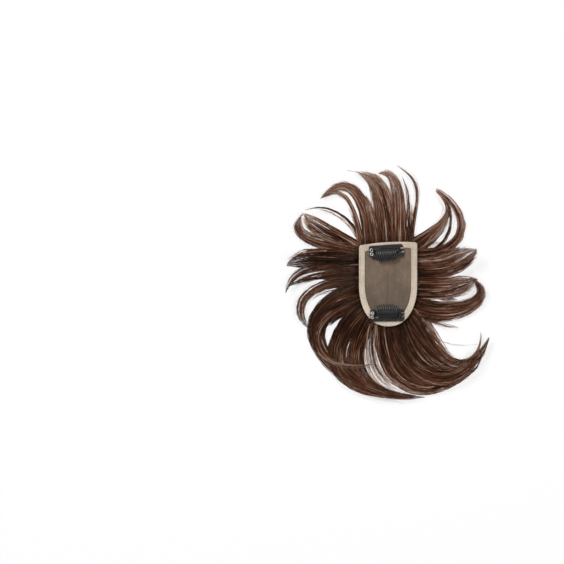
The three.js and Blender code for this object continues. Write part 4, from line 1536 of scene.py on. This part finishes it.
@dataclass
class SnapClip:
    """One clip: its plate, its rubber grip, its leaf of teeth and the threads that sew it down."""

    name: str
    across: float
    along: float
    turn: float
    # The end, -1 or 1 along the clip, whose holes get the painted glare rims and the painted shade plugs
    glare_end: int
    sewn_end: int
    centre: np.ndarray
    sizes: ClipSizes = ClipSizes()

    def to_base(self, points: np.ndarray) -> np.ndarray:
        """Points of the clip turned and moved to its place on the base.

        Args:
            points: Places in the clip's own frame.

        Returns:
            Places about the base's centre.
        """
        angle = math.radians(self.turn)
        cosine, sine = math.cos(angle), math.sin(angle)
        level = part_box(f"{self.name}_clip_frame")[0][2] / MM
        x = self.across + points[..., 0] * cosine - points[..., 1] * sine
        y = self.along + points[..., 0] * sine + points[..., 1] * cosine
        return np.stack([x, y, points[..., 2] + level], -1)

    def softened(self, node: str, name: str, width: float, finish: bpy.types.Material) -> bpy.types.Object:
        """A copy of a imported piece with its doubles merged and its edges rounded.

        Args:
            node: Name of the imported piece.
            name: Name of the copy.
            width: Width of the rounding in millimetres.
            finish: Material of the copy.

        Returns:
            The copy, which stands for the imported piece.
        """
        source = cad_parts[node]
        work = bmesh.new()
        work.from_mesh(source.data)
        bmesh.ops.remove_doubles(work, verts=work.verts, dist=1e-6)
        bmesh.ops.dissolve_limit(work, angle_limit=math.radians(1), verts=work.verts, edges=work.edges)
        crease = math.radians(34)
        sharp = [edge for edge in work.edges if edge.is_manifold and edge.calc_face_angle() > crease]
        rounding = {"segments": 2, "profile": 0.5, "affect": "EDGES", "clamp_overlap": True}
        bmesh.ops.bevel(work, geom=sharp, offset=width * MM, **rounding)
        mesh = bpy.data.meshes.new(name)
        work.to_mesh(mesh)
        work.free()
        mesh.materials.clear()
        mesh.materials.append(finish)
        mesh.polygons.foreach_set("use_smooth", np.ones(len(mesh.polygons), dtype=bool))
        piece = linked(name, mesh)
        smooth = piece.modifiers.new("face_normals", "WEIGHTED_NORMAL")
        smooth.keep_sharp = True
        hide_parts(node)
        return piece

    def comb(self, finish: bpy.types.Material) -> bpy.types.Object:
        """The leaf: ten bent teeth out of a thin web and a round-edged spine that turns on a pin.

        A tooth's middle line is a Catmull-Rom curve over the rubber grip and down to its tip. Its section is an
        oval that closes at the tip.

        Args:
            finish: Material of the leaf.

        Returns:
            The leaf's object, which turns with its own body.
        """
        size = self.sizes
        hinge = size.hinge
        over_grip = size.plate + size.gap + size.grip_thickness + size.gap
        lift = over_grip + size.tooth_thickness / 2 + size.tooth_lift - hinge[2]
        crest = size.depth - size.bow_bar / 2 - hinge[1]
        reach = size.depth + size.tooth_reach - hinge[1]
        knots = np.array(
            [
                [0, 0],
                [crest * 0.5, lift * 0.8],
                [crest, lift],
                [crest + (reach - crest) * 0.55, lift * 0.55],
                [reach, size.plate + size.tooth_thickness / 2 - hinge[2]],
            ]
        )
        line = catmull_rom(knots, 5)
        places = (np.arange(size.tooth_count) - (size.tooth_count - 1) / 2) * size.tooth_pitch
        paths = np.zeros((size.tooth_count, len(line), 3))
        paths[..., 0] = places[:, None]
        paths[..., 1:] = line[None]
        outer = np.abs(places) / places.max()
        paths[..., 1] *= 1 - size.tooth_rounding * outer[:, None] ** 4
        share = np.linspace(0, 1, len(line))[None]
        close = np.sqrt(np.clip(1 - share**9, 0.06, 1)) * np.ones((size.tooth_count, 1))
        teeth = tubes(paths + hinge, size.tooth_width / 2 * close, size.tooth_thickness / 2 * close, 12)
        half = size.window_half - 2 * size.gap
        bar = np.zeros((1, 9, 3))
        bar[0, :, 0] = half * np.sin(np.linspace(-np.pi / 2, np.pi / 2, 9))
        ends = np.sqrt(np.clip(1 - (bar[..., 0] / half) ** 10, 0.05, 1))
        spine = tubes(bar + hinge, size.spine_width / 2 * 1.05 * ends, size.pin_radius * 1.05 * ends, 16)
        pin = np.zeros((1, 5, 3))
        pin[0, :, 0] = np.linspace(-1, 1, 5) * (size.window_half + size.pin_length - size.gap)
        radius = np.full((1, 5), size.pin_radius)
        pins = tubes(pin + hinge, radius, radius, 14)
        web_line = line[: len(line) // 2 + 1]
        web_ends = np.sqrt(np.clip(1 - np.linspace(0, 1, len(web_line))[None] ** 6, 0.08, 1))
        web_half = size.tooth_count * size.tooth_pitch / 2
        web_path = np.column_stack([np.zeros(len(web_line)), web_line])[None]
        web = tubes(web_path + hinge, web_half * web_ends, size.tooth_thickness * 0.4 * web_ends, 24)
        skin = Skin.joined([teeth, spine, pins, web])
        skin.points = self.to_base(skin.points)
        piece = skin.piece(f"{self.name}_clip_leaf", self.centre, finish)
        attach(piece, f"{self.name}_comb")
        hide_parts(f"{self.name}_clip_comb")
        return piece

    def glare_rims(self, finish: bpy.types.Material) -> bpy.types.Object:
        """Rolled rims round the sewing holes, rings whose section is a small circle, in pale silver that is
        painted glare.

        Args:
            finish: Material of the rims.

        Returns:
            One object with the rims of the end that carries the painted glare.
        """
        size = self.sizes
        steps, sides = 24, 8
        around = np.linspace(0, 2 * np.pi, steps, endpoint=False)
        about = np.linspace(0, 2 * np.pi, sides, endpoint=False)
        ring, tube = np.meshgrid(around, about, indexing="ij")
        radius = size.hole / 2 + size.rim_offset + size.rim_half * np.cos(tube)
        skins = []
        for share in size.hole_rows:
            x = self.glare_end * size.hole_x + radius * np.cos(ring)
            y = size.depth * share + radius * np.sin(ring)
            z = size.plate + 0.06 + size.rim_height * np.sin(tube)
            points = self.to_base(np.stack([x, y, z], -1)).reshape(-1, 3)
            quads = grid_quads(steps, sides, wrap_rows=True)[:, ::-1]
            uv = np.tile(np.array([[0.0, 0.0], [0.0, 1.0], [1.0, 1.0], [1.0, 0.0]]), (len(quads), 1))
            skins.append(Skin(points, quads, np.zeros((0, 3), int), uv))
        piece = Skin.joined(skins).piece(f"{self.name}_clip_glare_rims", self.centre, finish)
        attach(piece, BODY)
        return piece

    def hole_shade(self, finish: bpy.types.Material) -> bpy.types.Object:
        """Painted shade in the sewing holes: a dark plug in the rubber's finish, as high as the plate, in each.

        Args:
            finish: Material of the lining.

        Returns:
            One object with the plugs of the end whose holes are open.
        """
        size = self.sizes
        paths = np.zeros((2, 2, 3))
        paths[..., 0] = self.glare_end * size.hole_x
        paths[..., 1] = size.depth * np.array(size.hole_rows)[:, None]
        paths[..., 2] = np.array([0.12, size.plate + 0.08])
        radius = np.full((2, 2), size.hole / 2 + size.hole_shade_margin)
        # Painted shade: dark plugs fill the holes, where the net under them would lie in shadow.
        plugs = tubes(self.to_base(paths), radius, radius, 16)
        piece = plugs.piece(f"{self.name}_clip_hole_shade", self.centre, finish)
        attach(piece, BODY)
        return piece

    def threads(self, finish: bpy.types.Material, rng: np.random.Generator) -> bpy.types.Object:
        """The sewing: threads out of each hole, over the ear's end and down into the net beside it.

        A thread rises over the ear as half a sine and ends a little under the tape's top.

        Args:
            finish: Material of the thread.
            rng: Source of chance.

        Returns:
            One object with every thread.
        """
        size = self.sizes
        share = np.linspace(0, 1, 12)
        paths = []
        for side in (-1, 1):
            for hole in size.hole_rows:
                for _ in range(size.sewn_threads if side == self.sewn_end else 1):
                    start = np.array([side * size.hole_x, size.depth * hole])
                    start = start + rng.normal(0, 0.22, 2)
                    stop = np.array([side * (size.length / 2 + rng.uniform(0.5, 1.5)), size.depth * hole])
                    stop[1] += rng.normal(0, 1.0)
                    flat = start + (stop - start) * share[:, None]
                    z = size.plate * 0.3 + (size.plate * 0.7 + 0.75) * np.sin(np.pi * share) ** 0.55
                    z = z - share * 0.6
                    paths.append(np.column_stack([flat, z]))
        paths = self.to_base(np.stack(paths))
        radius = np.full(paths.shape[:2], size.thread_radius)
        piece = tubes(paths, radius, radius, 6).piece(f"{self.name}_clip_threads", self.centre, finish)
        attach(piece, BODY)
        return piece

    def build(
        self,
        steel: bpy.types.Material,
        rubber: bpy.types.Material,
        bright: bpy.types.Material,
        thread: bpy.types.Material,
        rng: np.random.Generator,
    ) -> list[bpy.types.Object]:
        """Every piece of the clip.

        Args:
            steel: Material of the plate and leaf.
            rubber: Material of the grip.
            bright: Material of the rims, pale silver as painted glare.
            thread: Material of the sewing.
            rng: Source of chance.

        Returns:
            The pieces.
        """
        size = self.sizes
        plate = self.softened(f"{self.name}_clip_frame", f"{self.name}_clip_plate", size.plate_rounding, steel)
        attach(plate, BODY)
        grip = self.softened(f"{self.name}_clip_grip", f"{self.name}_clip_rubber", size.grip_rounding, rubber)
        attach(grip, BODY)
        comb = self.comb(steel)
        fittings = [self.glare_rims(bright), self.hole_shade(rubber), self.threads(thread, rng)]
        return [plate, grip, comb, *fittings]


def catmull_rom(knots: np.ndarray, steps: int) -> np.ndarray:
    """A smooth curve through knots, p = ½(2b + (c-a)t + (2a-5b+4c-d)t² + (3b-a-3c+d)t³) on each span.

    Args:
        knots: Points to pass through.
        steps: Steps on each span.

    Returns:
        Points of the curve, from the first knot to the last.
    """
    first = 2 * knots[0] - knots[1]
    last = 2 * knots[-1] - knots[-2]
    held = np.vstack([first, knots, last])
    t = (np.arange(steps) / steps)[:, None]
    spans = []
    for a, b, c, d in zip(held[:-3], held[1:-2], held[2:-1], held[3:]):
        span = 2 * b + (c - a) * t + (2 * a - 5 * b + 4 * c - d) * t**2 + (3 * b - a - 3 * c + d) * t**3
        spans.append(0.5 * span)
    return np.vstack(spans + [knots[-1:]])


# Studio


@dataclass
class Studio:
    """The pale floor, the soft lamps and the camera straight above."""

    centre: np.ndarray
    base_height: float = 15.0
    camera_height: float = 3.0
    floor_side: float = 8.0
    floor_drop: float = 0.0003
    world_light: float = 0.16
    floor_glow: float = 0.84
    floor_shade: float = 0.22

    def floor(self) -> bpy.types.Object:
        """A plain pale floor just under the hair.

        Returns:
            The floor's object.
        """
        half = self.floor_side / 2
        corners = np.array([[-half, -half, 0], [half, -half, 0], [half, half, 0], [-half, half, 0]])
        mesh = bpy.data.meshes.new("studio_floor")
        mesh.from_pydata((corners - [0, 0, self.floor_drop]).tolist(), [], [(0, 1, 2, 3)])
        material = bpy.data.materials.new("studio_white")
        material.use_nodes = True
        shader = material.node_tree.nodes["Principled BSDF"]
        shader.inputs["Base Color"].default_value = (*[self.floor_shade] * 3, 1)
        shader.inputs["Emission Color"].default_value = (1, 1, 1, 1)
        shader.inputs["Emission Strength"].default_value = self.floor_glow
        shader.inputs["Roughness"].default_value = 0.9
        shader.inputs["Specular IOR Level"].default_value = 0.1
        mesh.materials.append(material)
        floor = linked("studio_floor", mesh)
        return floor

    def lamp(self, name: str, place: tuple[float, float, float], side: float, power: float) -> None:
        """A square soft lamp that faces the object.

        Args:
            name: Name of the lamp.
            place: Where it stands, in metres.
            side: Its side, in metres.
            power: Its power, in watts.
        """
        data = bpy.data.lights.new(name, "AREA")
        data.shape = "SQUARE"
        data.size = side
        data.energy = power
        lamp = linked(name, data)
        lamp.location = place
        away = np.array(place) / np.linalg.norm(place)
        lamp.rotation_euler = (math.acos(away[2]), 0.0, math.atan2(away[0], -away[1]))

    def light(self) -> None:
        """A lamp to the upper left for gloss, a weaker one to the right, and dim even light from all round."""
        self.lamp("key_softbox", (-0.75, 0.75, 1.35), 0.5, 17.0)
        self.lamp("fill_softbox", (0.95, -0.2, 1.35), 0.6, 6.0)
        world = bpy.data.worlds.new("studio_air")
        world.use_nodes = True
        world.node_tree.nodes.clear()
        sheet = NodeSheet(world.node_tree)
        seen = sheet.add("LightPath").outputs["Is Camera Ray"]
        dim = sheet.add("Background", {0: (1.0, 1.0, 1.0, 1.0), 1: self.world_light})
        plain = sheet.add("Background", {0: (1.0, 1.0, 1.0, 1.0), 1: 1.0})
        air = sheet.add("MixShader", {0: seen, 1: dim.outputs[0], 2: plain.outputs[0]})
        sheet.add("OutputWorld", {0: air.outputs[0]})
        bpy.context.scene.world = world
        bpy.context.scene.view_settings.view_transform = "Standard"

    def camera(self) -> bpy.types.Object:
        """The camera straight above the middle of the photograph's frame, looking down with +Y up.

        Returns:
            The camera's object.
        """
        data = bpy.data.cameras.new("overhead_camera")
        middle = PHOTO_SIDE / 2
        x = self.centre[0] + (middle - BASE_PIXEL[0]) * PIXEL * MM
        y = self.centre[1] + (BASE_PIXEL[1] - middle) * PIXEL * MM
        data.sensor_width = 36.0
        frame_width = PHOTO_SIDE * PIXEL * MM
        data.lens = data.sensor_width * (self.camera_height - self.base_height * MM) / frame_width
        camera = linked("overhead_camera", data)
        camera.location = (x, y, self.camera_height)
        bpy.context.scene.camera = camera
        return camera

    def build(self) -> None:
        """Everything that isn't part of the object."""
        self.camera()
        self.floor()
        self.light()


def base_centre(plan: BasePlan) -> np.ndarray:
    """The middle of the base in the shared frame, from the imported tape.

    Args:
        plan: The base's plan.

    Returns:
        Metres, at the height of the surface.
    """
    low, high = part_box("edge_tape")
    return np.array([(low[0] + high[0]) / 2, low[1] + plan.back * MM, 0.0])


def main() -> None:
    """Builds the finishes, the base, the hair, the clips and the studio, and reports each piece."""
    logging.basicConfig(level=logging.INFO, format="%(name)s %(message)s")
    plan = BasePlan()
    centre = base_centre(plan)
    Studio(centre).build()
    weave, blotches, streaks = weave_effect(), blotch_effect(), streak_effect()
    strand_finish = HairFinish("brown_hair").material(streaks)
    body_finish = HairFinish("brown_hair_depth", roughness=0.45, streak=0.6, bump=0.6).material(streaks)
    net_finish = NetFinish().material(centre, weave, blotches)
    tape_finish = TapeFinish("cream_tape").material(weave, blotches)
    thread_finish = TapeFinish("cream_thread", size=(3.0, 1.0), roughness=0.6).material(weave, blotches)
    black = Colour(0.012, 0.012, 0.013)
    worn_black = Colour(0.11, 0.11, 0.115)
    soot = Colour(0.02, 0.02, 0.021)
    grey = Colour(0.20, 0.20, 0.205)
    # Pale silvers that stand for painted glare round the holes of one ear of each clip
    glare_pale = Colour(0.72, 0.70, 0.67)
    glare_peak = Colour(0.85, 0.84, 0.82)
    steel = HardFinish("black_steel", black, worn_black, 0.0, 0.4, 0.3).material(blotches)
    rubber = HardFinish("black_rubber", soot, grey, 0.0, 0.5, 0.0).material(blotches)
    # Painted glare: the rims' finish is pale silver, not the clip's black paint
    bright = HardFinish("painted_glare_rim", glare_pale, glare_peak, 0.35, 0.3, 0.0).material(blotches)

    base = NetBase(plan, centre)
    net, tape, stitches = base.net(net_finish), base.tape(tape_finish), base.stitches(thread_finish)
    area = base.cut_area()
    pieces = [net, tape, stitches]
    pieces += HairMass(plan, centre).build(strand_finish, body_finish)
    sewing = np.random.default_rng(SEWING_SEED)
    # Each clip's place across and along the base, its turn in degrees, its end with painted glare on the rims and
    # painted shade in the holes, and its sewn end
    places = (
        ("front", -2.6, plan.front - 2.9, 184, 1, -1),
        ("back", -1.1, -plan.back + 5.2, 1, -1, -1),
    )
    for place in places:
        pieces += SnapClip(*place, centre).build(steel, rubber, bright, thread_finish, sewing)
    for piece in pieces:
        LOG.info("%s: %d faces", piece.name, sum(len(face.vertices) - 2 for face in piece.data.polygons))


if __name__ == "__main__":
    main()
